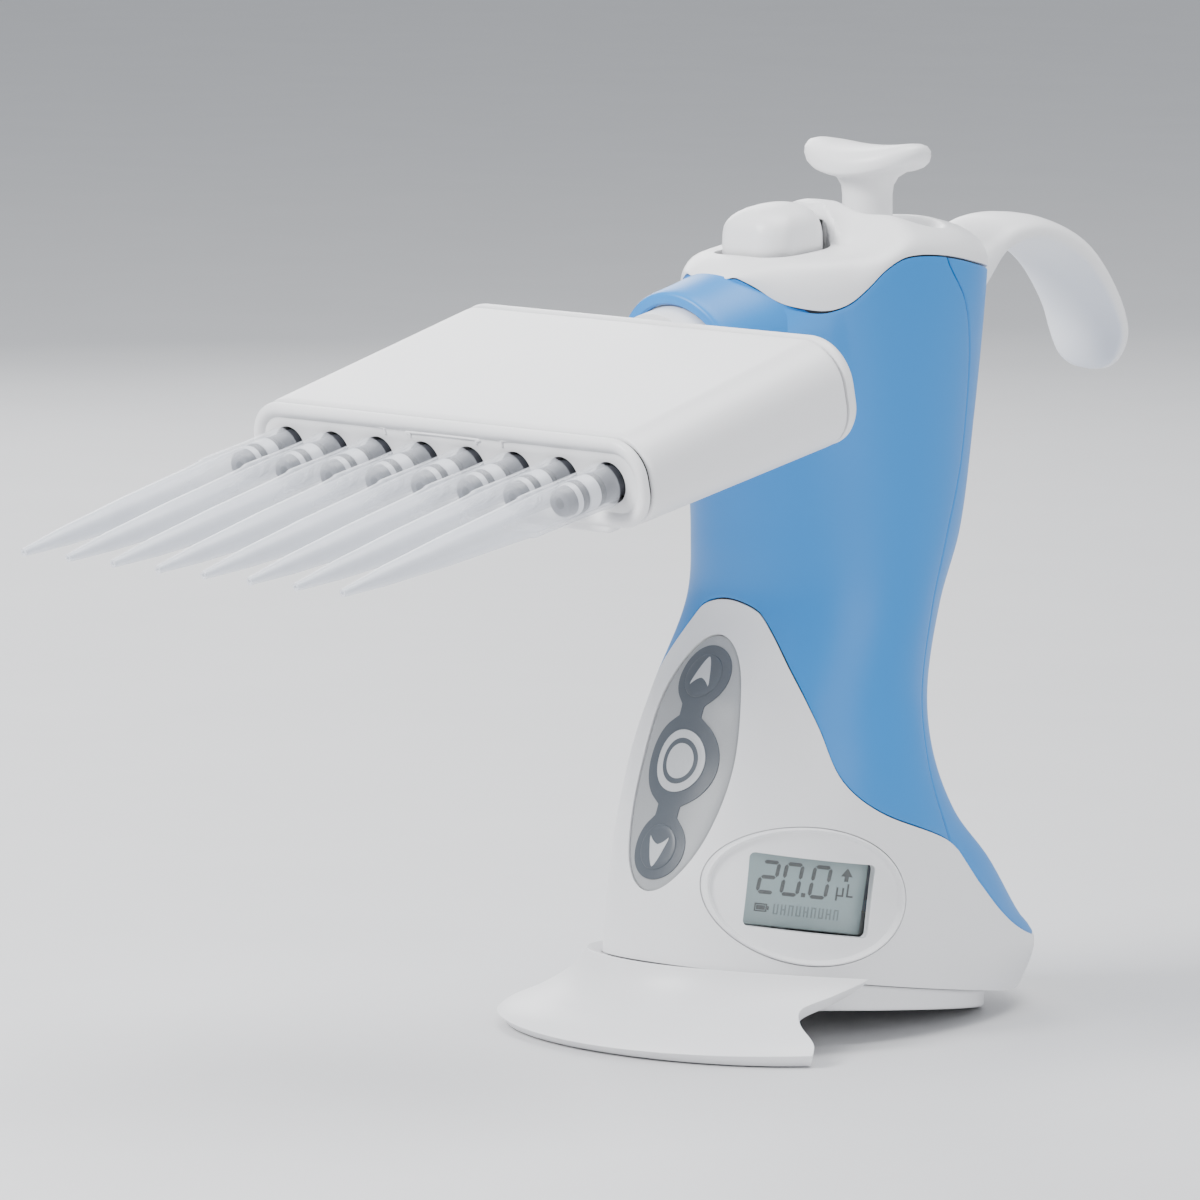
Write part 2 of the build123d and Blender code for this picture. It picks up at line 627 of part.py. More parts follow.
# Ejector: knob, rod with a forked wedge, sprung from the lower shelf, and the pushed slider
ROD_TOP = 109.5
ROD_BOTTOM = SHELF_UPPER[0]
PIN_PLACE = (-25.0, -5.0)
PIN_RADIUS = 1.5
ARM_X = (8.6, 9.8)
SLEEVE_RADII = (4.9, 4.2)
WEDGE = [(-2.3, 97.4), (-9.5, 104.5), (-9.5, 108.0), (1.5, 108.0), (1.5, 97.4)]
with BuildPart() as ejector_rod:
    add(ring_along(Plane.XY, ROD_BOTTOM, ROD_TOP, ROD_RADIUS))
    for side in (-1, 1):
        add(side_block(WEDGE, half=1.2, middle=side * 3.6))
    add(side_block([(-2.0, 105.6), (-2.0, 108.0), (2.0, 108.0), (2.0, 105.6)], half=4.8))
save(ejector_rod.part, "ejector_rod")

KNOB_HALF = (10.8, 6.6)
KNOB_TOP = 125.6
with BuildPart() as ejector_knob:
    with BuildSketch(Plane.XZ.offset(-KNOB_HALF[1])):
        with BuildLine():
            Spline((-KNOB_HALF[0], 120.6), (-8.4, 124.6), (-4.6, KNOB_TOP), (0, 124.7),
                   (4.6, KNOB_TOP), (8.4, 124.6), (KNOB_HALF[0], 120.6))
            Spline((KNOB_HALF[0], 120.6), (8.6, 120.2), (4.0, 121.2), (0, 121.2), (-4.0, 121.2),
                   (-8.6, 120.2), (-KNOB_HALF[0], 120.6))
        make_face()
    extrude(amount=2 * KNOB_HALF[1])
    with BuildSketch(Plane.XY.offset(110.0)):
        Ellipse(*KNOB_HALF)
    extrude(amount=20.0, mode=Mode.INTERSECT)
    add(ring_along(Plane.XY, ROD_TOP, 122.4, STEM_RADIUS))
save(ejector_knob.part, "ejector_knob")

SPRING_TURNS = 6
save(coil(2.2, 0.4, SHELF_UPPER[0] - SHELF_LOWER[1] - 0.9, SPRING_TURNS,
          Plane.XY.offset(SHELF_LOWER[1] + 0.45)), "ejector_spring")

with BuildPart() as ejector_slider:
    for side in (-1, 1):
        middle = side * (ARM_X[0] + ARM_X[1]) / 2
        thick = ARM_X[1] - ARM_X[0]
        add(box_along(HEAD, -26.5, 0.0, thick, 3.0, centre=(middle, 0)))
        add(box_along(HEAD, -26.5, -23.5, thick, 8.0, centre=(middle, -2.5)))
    with BuildSketch(Plane.YZ):
        pin = HEAD.from_local_coords((0, PIN_PLACE[1], PIN_PLACE[0]))
        with Locations((pin.Y, pin.Z)):
            Circle(PIN_RADIUS)
    extrude(amount=ARM_X[1], both=True)
    add(ring_along(HEAD, -1.5, 0.0, 10.0, SLEEVE_RADII[1]))
    add(ring_along(HEAD, 0.0, BRIDGE_START - GAP, *SLEEVE_RADII))
save(ejector_slider.part, "ejector_slider")

# Trigger block, its spring and switch
with BuildPart() as trigger_button:
    with BuildSketch(Plane.XY.offset(TRIGGER_BOTTOM)):
        with Locations((0, TRIGGER_Y)):
            RectangleRounded(*TRIGGER_SIZE, 3.4)
    extrude(amount=TRIGGER_TOP - TRIGGER_BOTTOM)
    fillet(trigger_button.faces().sort_by(Axis.Z)[-1].edges(), 2.4)
    with BuildSketch(Plane.XY.offset(TRIGGER_BOTTOM)):
        with Locations((0, TRIGGER_Y)):
            Circle(3.4)
    extrude(amount=4.0, mode=Mode.SUBTRACT)
save(trigger_button.part, "trigger_button")
save(coil(2.2, 0.35, 4.4, 4, Plane(origin=(0, TRIGGER_Y, POCKET_FLOOR + 0.4))), "trigger_spring")

# Electronics
BOARD_Y = (-20.6, -19.0)
save(side_block([(BOARD_Y[0], 24.0), (BOARD_Y[1], 24.0), (BOARD_Y[1], 66.0), (BOARD_Y[0], 66.0)],
                half=10.0), "circuit_board")
BATTERY_RADIUS = 7.0
BATTERY_PLACE = (0.0, -8.5)
BATTERY_SPAN = (17.0, 66.0)
save(ring_along(Plane.XY, *BATTERY_SPAN, BATTERY_RADIUS, places=[BATTERY_PLACE]), "battery")

# Screws from below through the foot into the base's posts
with BuildPart() as foot_screws:
    add(ring_along(Plane.XY, 5.6, 16.0, SCREW_BORE, places=POST_PLACES[:2]))
    add(ring_along(Plane.XY, 3.4, 12.0, SCREW_BORE, places=POST_PLACES[2:]))
save(foot_screws.part, "foot_screws")
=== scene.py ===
"""Looks of a self-standing multichannel pipette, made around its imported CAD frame."""

import json
import math

import bmesh
import bpy
from bpy.props import FloatProperty, FloatVectorProperty, IntProperty, PointerProperty
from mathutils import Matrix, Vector


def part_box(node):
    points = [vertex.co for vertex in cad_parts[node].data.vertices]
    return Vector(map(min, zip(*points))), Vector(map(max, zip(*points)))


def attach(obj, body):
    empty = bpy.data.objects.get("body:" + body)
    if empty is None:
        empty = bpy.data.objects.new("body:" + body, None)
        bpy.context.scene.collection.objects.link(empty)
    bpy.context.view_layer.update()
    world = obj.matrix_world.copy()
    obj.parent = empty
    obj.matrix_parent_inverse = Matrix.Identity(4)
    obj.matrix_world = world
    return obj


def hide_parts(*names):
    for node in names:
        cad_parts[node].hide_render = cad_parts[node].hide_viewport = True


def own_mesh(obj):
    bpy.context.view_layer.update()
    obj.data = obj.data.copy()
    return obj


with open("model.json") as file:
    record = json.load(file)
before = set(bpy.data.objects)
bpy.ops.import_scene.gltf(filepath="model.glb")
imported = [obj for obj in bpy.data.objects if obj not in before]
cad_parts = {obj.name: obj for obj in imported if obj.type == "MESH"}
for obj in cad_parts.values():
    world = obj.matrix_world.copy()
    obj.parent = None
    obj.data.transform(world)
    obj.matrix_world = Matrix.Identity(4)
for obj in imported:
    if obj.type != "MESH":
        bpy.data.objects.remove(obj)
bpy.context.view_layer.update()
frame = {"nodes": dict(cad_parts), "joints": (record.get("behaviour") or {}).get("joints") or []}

bl_info = {
    "name": "Multichannel pipette",
    "version": (1, 0, 0),
    "blender": (4, 5, 0),
    "location": "3D View > Sidebar > Pipette",
    "description": "Builds the casing, head, keypad, display and tips of a standing pipette",
    "category": "Object",
}

MM = 0.001
TAU = 2 * math.pi

# ---------------------------------------------------------------- places taken from the frame
KNOB_LOW, KNOB_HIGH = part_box("ejector_knob")
KNOB_Y = (KNOB_LOW[1] + KNOB_HIGH[1]) / 2      # the knob's axis, from which Y is measured below
JOINTS = {joint["name"]: joint for joint in frame["joints"]}
SWIVEL = JOINTS["head_swivel"]
NECK = Vector(SWIVEL["pos_m"])
ALONG = Vector(SWIVEL["axis"]).normalized()    # from the body to the tips
SIDE = Vector((1.0, 0.0, 0.0))
RISE = ALONG.cross(SIDE)                       # up, square to the neck axis


def at(x, y, z):
    """Point in metres from millimetres about the knob's axis."""
    return Vector((x * MM, y * MM + KNOB_Y, z * MM))


def on_head(x, rise, along):
    """Point in metres from millimetres in the head's own directions."""
    return NECK + SIDE * (x * MM) + RISE * (rise * MM) + ALONG * (along * MM)


# ---------------------------------------------------------------- properties
class CasingSettings(bpy.types.PropertyGroup):
    """Sizes and colours of the casing."""

    white: FloatVectorProperty(name="White", description="Colour of the white mouldings",
                               subtype="COLOR", default=(0.84, 0.84, 0.85), min=0, max=1)
    blue: FloatVectorProperty(name="Blue", description="Colour of the handle shells",
                              subtype="COLOR", default=(0.014, 0.225, 0.62), min=0, max=1)
    wall: FloatProperty(name="Wall", description="Thickness of the casing's wall",
                        default=2.0 * MM, unit="LENGTH", min=0.0005)
    seam_round: FloatProperty(name="Seam rounding", description="Radius along the casing's seams",
                              default=0.35 * MM, unit="LENGTH", min=0.0)
    seam_gap: FloatProperty(name="Seam gap", description="Half the gap between two casing pieces",
                            default=0.13 * MM, unit="LENGTH", min=0.0)


class PanelSettings(bpy.types.PropertyGroup):
    """Sizes and colours of the keypad and the display."""

    panel: FloatVectorProperty(name="Keypad panel", description="Colour of the oval panel",
                               subtype="COLOR", default=(0.36, 0.37, 0.38), min=0, max=1)
    keys: FloatVectorProperty(name="Keys", description="Colour of the keys and their surround",
                              subtype="COLOR", default=(0.085, 0.098, 0.115), min=0, max=1)
    lcd: FloatVectorProperty(name="Display", description="Colour of the unlit display",
                             subtype="COLOR", default=(0.27, 0.36, 0.37), min=0, max=1)
    digit_height: FloatProperty(name="Digit height", description="Height of the large figures",
                                default=4.3 * MM, unit="LENGTH", min=0.0005)


class HeadSettings(bpy.types.PropertyGroup):
    """Sizes of the head, its nozzles and tips."""

    channels: IntProperty(name="Channels", description="Number of nozzles and tips",
                          default=8, min=1, max=16)
    pitch: FloatProperty(name="Pitch", description="Spacing of the channels",
                         default=9.0 * MM, unit="LENGTH", min=0.001)
    haze: FloatProperty(name="Haze", description="How opaque the tips look",
                        subtype="FACTOR", default=0.07, min=0.04, max=1)


# ---------------------------------------------------------------- shader maths
class Wire:
    """A shader socket or number that takes part in Python arithmetic."""

    def __init__(self, sheet, socket):
        self.sheet = sheet
        self.socket = socket

    def _math(self, operation, first, second=0.5):
        """Result of one maths node."""
        return self.sheet.node("ShaderNodeMath", {"operation": operation}, {0: first, 1: second})

    def __add__(self, other):
        return self._math("ADD", self, other)

    def __radd__(self, other):
        return self._math("ADD", other, self)

    def __sub__(self, other):
        return self._math("SUBTRACT", self, other)

    def __rsub__(self, other):
        return self._math("SUBTRACT", other, self)

    def __mul__(self, other):
        return self._math("MULTIPLY", self, other)

    def __rmul__(self, other):
        return self._math("MULTIPLY", other, self)


class Sheet:
    """One material's node tree, written as expressions."""

    def __init__(self, name):
        self.material = bpy.data.materials.new(name)
        self.material.use_nodes = True
        self.tree = self.material.node_tree
        self.tree.nodes.clear()

    def node(self, kind, settings=None, inputs=None, output=0):
        """Add a node, set or link its inputs, and return one of its outputs."""
        made = self.tree.nodes.new(kind)
        for key, value in (settings or {}).items():
            setattr(made, key, value)
        for key, value in (inputs or {}).items():
            if isinstance(value, Wire):
                self.tree.links.new(value.socket, made.inputs[key])
            else:
                made.inputs[key].default_value = value
        return Wire(self, made.outputs[output]) if made.outputs else None

    def place(self):
        """Coordinates in the piece's own space."""
        return self.node("ShaderNodeTexCoord", output="Object")

    def noise(self, scale, detail=2.0, roughness=0.5):
        """Noise over the piece."""
        return self.node("ShaderNodeTexNoise", {"noise_dimensions": "3D"},
                         {"Vector": self.place(), "Scale": scale, "Detail": detail,
                          "Roughness": roughness})

    def mix(self, factor, first, second):
        """Blend of two colours."""
        return self.node("ShaderNodeMix", {"data_type": "RGBA"},
                         {0: factor, 6: first, 7: second}, output=2)

    def bump(self, height, strength, distance):
        """Normal raised by a height."""
        return self.node("ShaderNodeBump", {}, {"Height": height, "Strength": strength,
                                                "Distance": distance})

    def finish(self, inputs):
        """The material, with its surface shader."""
        shader = self.node("ShaderNodeBsdfPrincipled", {}, inputs)
        self.node("ShaderNodeOutputMaterial", {}, {"Surface": shader})
        return self.material


def shade(colour, factor):
    """A colour made lighter or darker, with full alpha."""
    return tuple(min(1.0, c * factor) for c in colour[:3]) + (1.0,)


def moulded(name, colour, roughness=0.38, grain=2600.0, depth=0.012, coat=0.0):
    """Satin moulded plastic: fine spark-eroded grain, faint flow marks and handling sheen."""
    sheet = Sheet(name)
    flow = sheet.noise(26.0, 3.0, 0.55)
    grit = sheet.noise(grain, 2.0, 0.6)
    smears = sheet.noise(95.0, 4.0, 0.6)
    tone = sheet.mix(flow, shade(colour, 0.965), shade(colour, 1.03))
    rough = roughness - 0.05 + smears * 0.07 + grit * 0.05
    return sheet.finish({
        "Base Color": tone, "Roughness": rough, "IOR": 1.5, "Coat Weight": coat,
        "Coat Roughness": 0.25, "Normal": sheet.bump(grit, 0.35, depth * MM),
    })


def film(name, colour, roughness=0.32):
    """Printed polyester film: smooth, slightly orange-peeled, faintly speckled."""
    sheet = Sheet(name)
    peel = sheet.noise(900.0, 2.0, 0.5)
    speck = sheet.noise(6000.0, 1.0, 0.5)
    tone = sheet.mix(speck, shade(colour, 0.93), shade(colour, 1.07))
    return sheet.finish({
        "Base Color": tone, "Roughness": roughness - 0.04 + peel * 0.08, "IOR": 1.5,
        "Normal": sheet.bump(peel, 0.25, 0.02 * MM),
    })


def metal(name, colour, roughness=0.3, brushed=900.0):
    """Ground metal with fine lines along the neck axis."""
    sheet = Sheet(name)
    stretched = sheet.node("ShaderNodeMapping", {}, {"Vector": sheet.place(),
                                                     "Scale": (1.0, 0.08, 1.0)})
    lines = sheet.node("ShaderNodeTexNoise", {}, {"Vector": stretched, "Scale": brushed,
                                                  "Detail": 3.0})
    tone = sheet.mix(lines, shade(colour, 0.85), shade(colour, 1.1))
    return sheet.finish({
        "Base Color": tone, "Metallic": 1.0, "Roughness": roughness - 0.08 + lines * 0.16,
        "Normal": sheet.bump(lines, 0.2, 0.01 * MM),
    })


def clear_plastic(name, colour, alpha, roughness=0.16, edge=0.4, milk=0.0, collar=0.0,
                  length=1.0):
    """Translucent plastic, cloudier from a collar's place along its length."""
    sheet = Sheet(name)
    cloud = sheet.noise(160.0, 3.0, 0.5)
    drawn = sheet.noise(1500.0, 2.0, 0.5)
    tone = sheet.mix(cloud, shade(colour, 0.94), shade(colour, 1.04))
    facing = sheet.node("ShaderNodeLayerWeight", {}, {"Blend": 0.35}, output="Facing")
    forward = sheet.node("ShaderNodeSeparateXYZ", {}, {"Vector": sheet.place()}, output="Y")
    share = sheet.node("ShaderNodeMath", {"operation": "MULTIPLY", "use_clamp": True},
                       {0: collar - forward, 1: 1.0 / length})
    return sheet.finish({
        "Base Color": tone, "Roughness": roughness + drawn * 0.1, "IOR": 1.49,
        "Alpha": alpha - 0.03 + cloud * 0.06 + facing * edge + share * milk,
        "Normal": sheet.bump(drawn, 0.2, 0.01 * MM),
    })


MATERIALS = {}


def make_materials(scene):
    """All finishes, once, by name."""
    casing = scene.pipette_casing
    panel = scene.pipette_panel
    head = scene.pipette_head
    MATERIALS["white"] = moulded("white_moulding", casing.white)
    MATERIALS["blue"] = moulded("blue_moulding", casing.blue, 0.40, 2400.0, 0.014)
    MATERIALS["panel"] = film("keypad_film", panel.panel)
    MATERIALS["keys"] = film("key_film", panel.keys, 0.36)
    MATERIALS["legend"] = film("pale_legend", (0.52, 0.535, 0.55), 0.34)
    MATERIALS["lcd"] = film("lcd_glass", panel.lcd, 0.12)
    MATERIALS["digit"] = film("lcd_figures", (0.012, 0.018, 0.02), 0.3)
    MATERIALS["shadow_digit"] = film("lcd_faint_figures", (0.12, 0.17, 0.18), 0.3)
    MATERIALS["window"] = clear_plastic("window_acrylic", (0.9, 0.95, 0.95), 0.05, 0.04, 0.04)
    collar = on_head(0.0, 0.0, 62.0).y
    MATERIALS["tip"] = clear_plastic("tip_polypropylene", (0.80, 0.83, 0.89), head.haze, 0.14,
                                     0.45, 0.3, collar, 0.03)
    MATERIALS["nozzle"] = moulded("nozzle_grey", (0.06, 0.063, 0.075), 0.3)
    MATERIALS["band"] = moulded("nozzle_band", (0.78, 0.79, 0.83), 0.32)
    MATERIALS["rubber"] = moulded("seal_rubber", (0.01, 0.01, 0.012), 0.55, 3200.0, 0.02)
    MATERIALS["frame"] = moulded("glass_filled_nylon", (0.03, 0.03, 0.034), 0.5, 1500.0, 0.03)
    MATERIALS["steel"] = metal("ground_steel", (0.55, 0.55, 0.57))
    MATERIALS["can"] = metal("motor_can", (0.42, 0.42, 0.44), 0.36, 500.0)
    MATERIALS["bar"] = metal("anodised_bar", (0.68, 0.68, 0.7), 0.4, 700.0)
    MATERIALS["board"] = film("solder_mask", (0.03, 0.17, 0.07), 0.28)
    MATERIALS["sleeve"] = film("battery_sleeve", (0.03, 0.05, 0.2), 0.25)
    MATERIALS["floor"] = moulded("studio_floor", (0.66, 0.66, 0.67), 0.6, 300.0, 0.02)


NODE_FINISH = {
    "front_shell": "blue", "back_cover": "blue", "keypad_panel": "panel",
    "keypad_overlay": "keys", "key_up": "keys", "key_enter": "keys", "key_down": "keys",
    "display_window": "window", "lcd_panel": "lcd", "circuit_board": "board",
    "battery": "sleeve", "chassis": "frame", "actuator_motor": "can", "drive_screw": "steel",
    "ejector_rod": "frame", "ejector_spring": "steel", "ejector_slider": "steel",
    "trigger_spring": "steel", "neck_tube": "steel", "nozzle_block": "frame",
    "nozzles": "nozzle", "nozzle_seals": "rubber", "piston_carrier": "bar",
    "pistons": "steel", "stripper_bridge": "bar", "stripper_rods": "steel",
    "pipette_tips": "tip", "foot_screws": "steel",
}


# ---------------------------------------------------------------- mesh helpers
def finished(name, mesh, finish, body, slot, *replaced):
    """Link a mesh as a finished piece that rides on a body and stands for CAD nodes."""
    if not mesh.polygons:
        raise RuntimeError(f"{name} came out without faces")
    piece = bpy.data.objects.new(name, mesh)
    bpy.context.scene.collection.objects.link(piece)
    if finish and not mesh.materials:
        mesh.materials.append(MATERIALS[finish])
    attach(piece, body)
    if replaced:
        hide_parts(*replaced)
    return piece


def baked(mesh_name, mesh, modifiers, smooth=40.0):
    """Run modifiers on a mesh and return the plain result, shaded smooth by angle."""
    helper = bpy.data.objects.new(mesh_name, mesh)
    bpy.context.scene.collection.objects.link(helper)
    for kind, settings in modifiers:
        made = helper.modifiers.new(kind, kind)
        for key, value in settings.items():
            setattr(made, key, value)
    bpy.context.view_layer.update()
    graph = bpy.context.evaluated_depsgraph_get()
    result = bpy.data.meshes.new_from_object(helper.evaluated_get(graph))
    bpy.data.objects.remove(helper)
    result.name = mesh_name
    smooth_by_angle(result, smooth)
    return result


def smooth_by_angle(mesh, degrees):
    """Smooth faces, with edges sharper than an angle kept crisp."""
    edit = bmesh.new()
    edit.from_mesh(mesh)
    limit = math.radians(degrees)
    for face in edit.faces:
        face.smooth = True
    for edge in edit.edges:
        edge.smooth = not (edge.is_manifold and edge.calc_face_angle(0.0) > limit)
    edit.to_mesh(mesh)
    edit.free()


def grid_mesh(name, rows, closed):
    """Quads between rows of points; closed rows run all the way round."""
    count = len(rows[0])
    verts = [p for row in rows for p in row]
    faces = []
    for i in range(len(rows) - 1):
        for j in range(count if closed else count - 1):
            k = (j + 1) % count
            faces.append((i * count + j, i * count + k, (i + 1) * count + k, (i + 1) * count + j))
    mesh = bpy.data.meshes.new(name)
    mesh.from_pydata([tuple(v) for v in verts], [], faces)
    mesh.update()
    return mesh


def merged(mesh, distance):
    """Join a mesh's points that lie together."""
    edit = bmesh.new()
    edit.from_mesh(mesh)
    bmesh.ops.remove_doubles(edit, verts=edit.verts, dist=distance)
    edit.to_mesh(mesh)
    edit.free()
    return mesh


def capped(mesh):
    """Close a tube's open ends, merge doubles and point its faces outwards."""
    edit = bmesh.new()
    edit.from_mesh(mesh)
    bmesh.ops.remove_doubles(edit, verts=edit.verts, dist=1e-6)
    rims = [e for e in edit.edges if e.is_boundary]
    if rims:
        bmesh.ops.holes_fill(edit, edges=rims, sides=0)
    bmesh.ops.recalc_face_normals(edit, faces=edit.faces)
    edit.to_mesh(mesh)
    edit.free()
    return mesh


def curve_at(table, place, column):
    """Smooth value of a table's column at a place in its rising first column."""
    last = len(table) - 2
    i = 0
    while i < last and table[i + 1][0] < place:
        i += 1
    low, high = table[i], table[i + 1]
    before, after = table[max(i - 1, 0)], table[min(i + 2, last + 1)]
    span = high[0] - low[0]
    u = min(max((place - low[0]) / span, 0.0), 1.0)
    slope_low = (high[column] - before[column]) / (high[0] - before[0]) * span
    slope_high = (after[column] - low[column]) / (after[0] - low[0]) * span
    return ((2 * u**3 - 3 * u**2 + 1) * low[column] + (u**3 - 2 * u**2 + u) * slope_low
            + (3 * u**2 - 2 * u**3) * high[column] + (u**3 - u**2) * slope_high)


# ---------------------------------------------------------------- the casing's form
# height, Y of the widest line, half width, reach to the front and to the back
BODY = [
    (-2.0, -14.0, 23.2, 31.4, 36.0), (4.0, -14.0, 23.7, 31.6, 40.5),
    (9.0, -14.0, 23.8, 31.5, 42.8), (13.0, -13.8, 23.8, 31.6, 38.6),
    (22.0, -13.8, 23.3, 30.8, 31.0), (30.0, -15.5, 23.2, 26.3, 23.7),
    (39.0, -17.3, 22.0, 21.0, 21.0), (48.0, -15.8, 19.7, 19.5, 19.6),
    (60.0, -11.0, 18.4, 17.9, 17.8), (70.0, -8.4, 17.9, 20.7, 20.5),
    (85.0, -7.5, 17.6, 23.3, 23.2), (103.0, -6.8, 17.5, 25.5, 25.5),
    (112.0, -6.4, 16.8, 27.0, 26.2), (122.0, -6.4, 15.5, 27.2, 26.0),
]
# the lines between the casing's pieces, seen from the side
BASE_LINE = [(9.0, 31.0), (9.6, 21.7), (13.6, 11.0), (20.7, 1.5), (26.9, -5.3), (32.5, -20.0),
             (37.5, -26.0), (45.0, -27.5), (52.0, -28.3), (60.0, -27.9), (62.2, -28.7)]
SEAM_LINE = [(18.0, -3.0), (27.0, -5.5), (36.0, -8.0), (45.0, -7.5), (59.6, -4.5), (70.0, -1.0),
             (79.4, 3.0), (87.4, 4.6), (96.0, 5.0), (103.0, 3.5), (109.2, -0.9), (116.0, -1.5)]
CAP_LINE = [(-34.0, 109.6), (-30.5, 106.6), (-28.3, 104.5), (-25.7, 103.5), (-22.5, 103.1),
            (-19.5, 104.0), (-16.7, 106.0), (-13.5, 108.5), (-9.4, 110.1), (-1.7, 109.8),
            (9.0, 107.8), (18.0, 106.0), (24.0, 104.6)]
CAP_TOP = [(-33.6, 107.0), (-31.0, 110.4), (-26.5, 112.6), (-20.0, 114.6), (-13.0, 117.0),
           (-8.0, 117.4), (0.0, 116.2), (8.0, 114.4), (15.0, 112.4), (20.5, 109.0),
           (22.5, 106.0)]
SHELF = [(-33.6, 107.0), (-31.0, 109.2), (-26.5, 110.4), (-20.0, 110.9), (-14.0, 111.6),
         (-10.0, 112.8), (-4.0, 114.0)]
BASE_UNDER = [(-60.0, 14.0), (-39.0, 10.8), (10.0, 3.3), (14.0, 3.0), (30.0, 10.4)]
# the foot's flare and rear edge by height, and the plinth's lower edge by Y
FLARE = [(-1.0, 1.06), (0.0, 1.0), (1.2, 0.9), (3.2, 0.62), (5.6, 0.34), (8.4, 0.13),
         (11.4, 0.02), (14.0, 0.0)]
APRON_REAR = [(-1.0, -43.0), (0.0, -42.6), (1.2, -41.2), (3.5, -39.2), (5.2, -36.6), (6.6, -31.5),
              (8.0, -27.0), (12.0, -16.0)]
PLINTH_UNDER = [(-60.0, 5.6), (-34.0, 5.4), (-20.0, 4.4), (-6.0, 2.9), (6.0, 1.2), (12.4, 0.0),
                (20.0, 0.0)]
BLEND_OUT = 18.5        # radius about the neck axis where the handle starts to swell
BLEND_IN = 10.5
BLEND_PUSH = 4.2
BOWL_RIM = (11.9, 9.2)
BOWL_FLOOR = (11.0, 6.8)
BOWL_BOTTOM = 110.6
TRIGGER_Y = -19.5
BLOCK_SIZE = 12.4       # trigger block's side
WELL = (13.9, 3.8)      # side and corner of the well round it
LINER = (15.9, 4.8)     # the same outside the well's walls
LINER_LOW = 107.0
WELL_FLOOR = 107.9
KNOB_HALF = (10.8, 6.6)
MIDDLE_Y = -14.0        # the base's middle
APRON_TOP = (23.5, 31.3)       # half width and reach of the foot's flare at the base
APRON_GROUND = (32.6, 20.4)    # the same on the ground
APRON_GROUND_Y = -34.6
HEEL_REACH = 30.5
HEAD_WIDTH = 77.0
HEAD_HEIGHTS = (15.6, 12.6)    # at the rear and at the front
HEAD_CORNERS = (6.6, 5.6)
HEAD_LIFT = 1.1                # rise of the rear's middle
SHELL_REAR = 14.4
SHELL_LENGTH = 40.8
TIP_HOLE = 2.95
ROWS = 70               # points up a casing piece
COLUMNS = 120           # points across one
RING = 240              # points all the way round
TURNS = 180             # samples of the lines round the body


def body_at(height, turn, grow=0.0):
    """X and Y of the body's form at a height; turn 0 is the front."""
    wide_y, half, front, back = (curve_at(BODY, height, c) for c in (1, 2, 3, 4))
    reach = front if math.cos(turn) > 0 else back
    return (half + grow) * math.sin(turn), wide_y - (reach + grow) * math.cos(turn)


def under_at(y):
    """Height of the base's lower edge."""
    for (y0, z0), (y1, z1) in zip(BASE_UNDER, BASE_UNDER[1:]):
        if y <= y1:
            return z0 + (z1 - z0) * (y - y0) / (y1 - y0)
    return BASE_UNDER[-1][1]


def crossing(gap, low, high):
    """Height at which a falling-to-rising gap function passes zero."""
    if gap(low) > 0:
        return low
    if gap(high) < 0:
        return high
    for _ in range(34):
        middle = (low + high) / 2
        if gap(middle) < 0:
            low = middle
        else:
            high = middle
    return (low + high) / 2


def base_line_at(turn):
    """Height of the base's upper edge at a turn."""
    return crossing(lambda z: body_at(z, turn)[1] - curve_at(BASE_LINE, z, 1), 9.0, 62.2)


def cap_line_at(turn):
    """Height of the cap's lower edge at a turn."""
    return crossing(lambda z: z - curve_at(CAP_LINE, body_at(z, turn)[1], 1), 97.0, 115.0)


def roof(x, y):
    """Height of the cap's top, which steps down to a shelf round the trigger."""
    high = curve_at(CAP_TOP, y, 1) - 0.0166 * x * x
    if y > -5.0:
        return high
    shelf = curve_at(SHELF, y, 1) - 0.004 * x * x
    ahead = 1 - eased((y + 13.5) / 1.3)
    aside = (1 - eased((y + 12.5) / 7.5)) * eased((abs(x) - 2.5) / 7.0)
    return high + (shelf - high) * max(ahead, aside)


def eased(share):
    """Share of a step, clamped and eased at both ends."""
    share = min(max(share, 0.0), 1.0)
    return share * share * (3 - 2 * share)


def roof_line_at(turn):
    """Height at which the body meets the cap's top."""
    return crossing(lambda z: z - roof(*body_at(z, turn)), 100.0, 121.0)


def seam_turn_at(height):
    """Turn at which the seam between the two handle shells crosses a height."""
    wide_y, _, front, back = (curve_at(BODY, height, c) for c in (1, 2, 3, 4))
    offset = wide_y - curve_at(SEAM_LINE, height, 1)
    reach = front if offset > 0 else back
    return math.acos(max(-1.0, min(1.0, offset / reach)))


def least_base(turn):
    """Height of the base's upper edge, kept over its lower one at the tail."""
    height = base_line_at(turn)
    return max(height, under_at(body_at(height, turn)[1]) + 1.2)


BASE_HEIGHTS = [least_base(TAU * i / TURNS) for i in range(TURNS)]
CAP_HEIGHTS = [min(cap_line_at(TAU * i / TURNS), roof_line_at(TAU * i / TURNS) - 0.5)
               for i in range(TURNS)]


def around(heights, turn):
    """Height of a line round the body at any turn, from its sampled heights."""
    place = (turn / TAU * TURNS) % TURNS
    i = int(place)
    share = place - i
    return heights[i] * (1 - share) + heights[(i + 1) % TURNS] * share


def shell_rows(left_turn, right_turn, low, high, gap):
    """Rows of points of a casing shell whose four edges follow the dividing lines."""
    rows = []
    for i in range(ROWS + 1):
        up = i / ROWS
        row = []
        for j in range(COLUMNS + 1):
            across = j / COLUMNS
            turn = left_turn(60.0) * (1 - across) + right_turn(60.0) * across
            for _ in range(14):
                height = ((around(low, turn) + gap) * (1 - up)
                          + (around(high, turn) - gap) * up)
                turn = left_turn(height) * (1 - across) + right_turn(height) * across
            x, y = body_at(height, turn)
            row.append(swelled(at(x, y, height)))
        rows.append(row)
    return rows


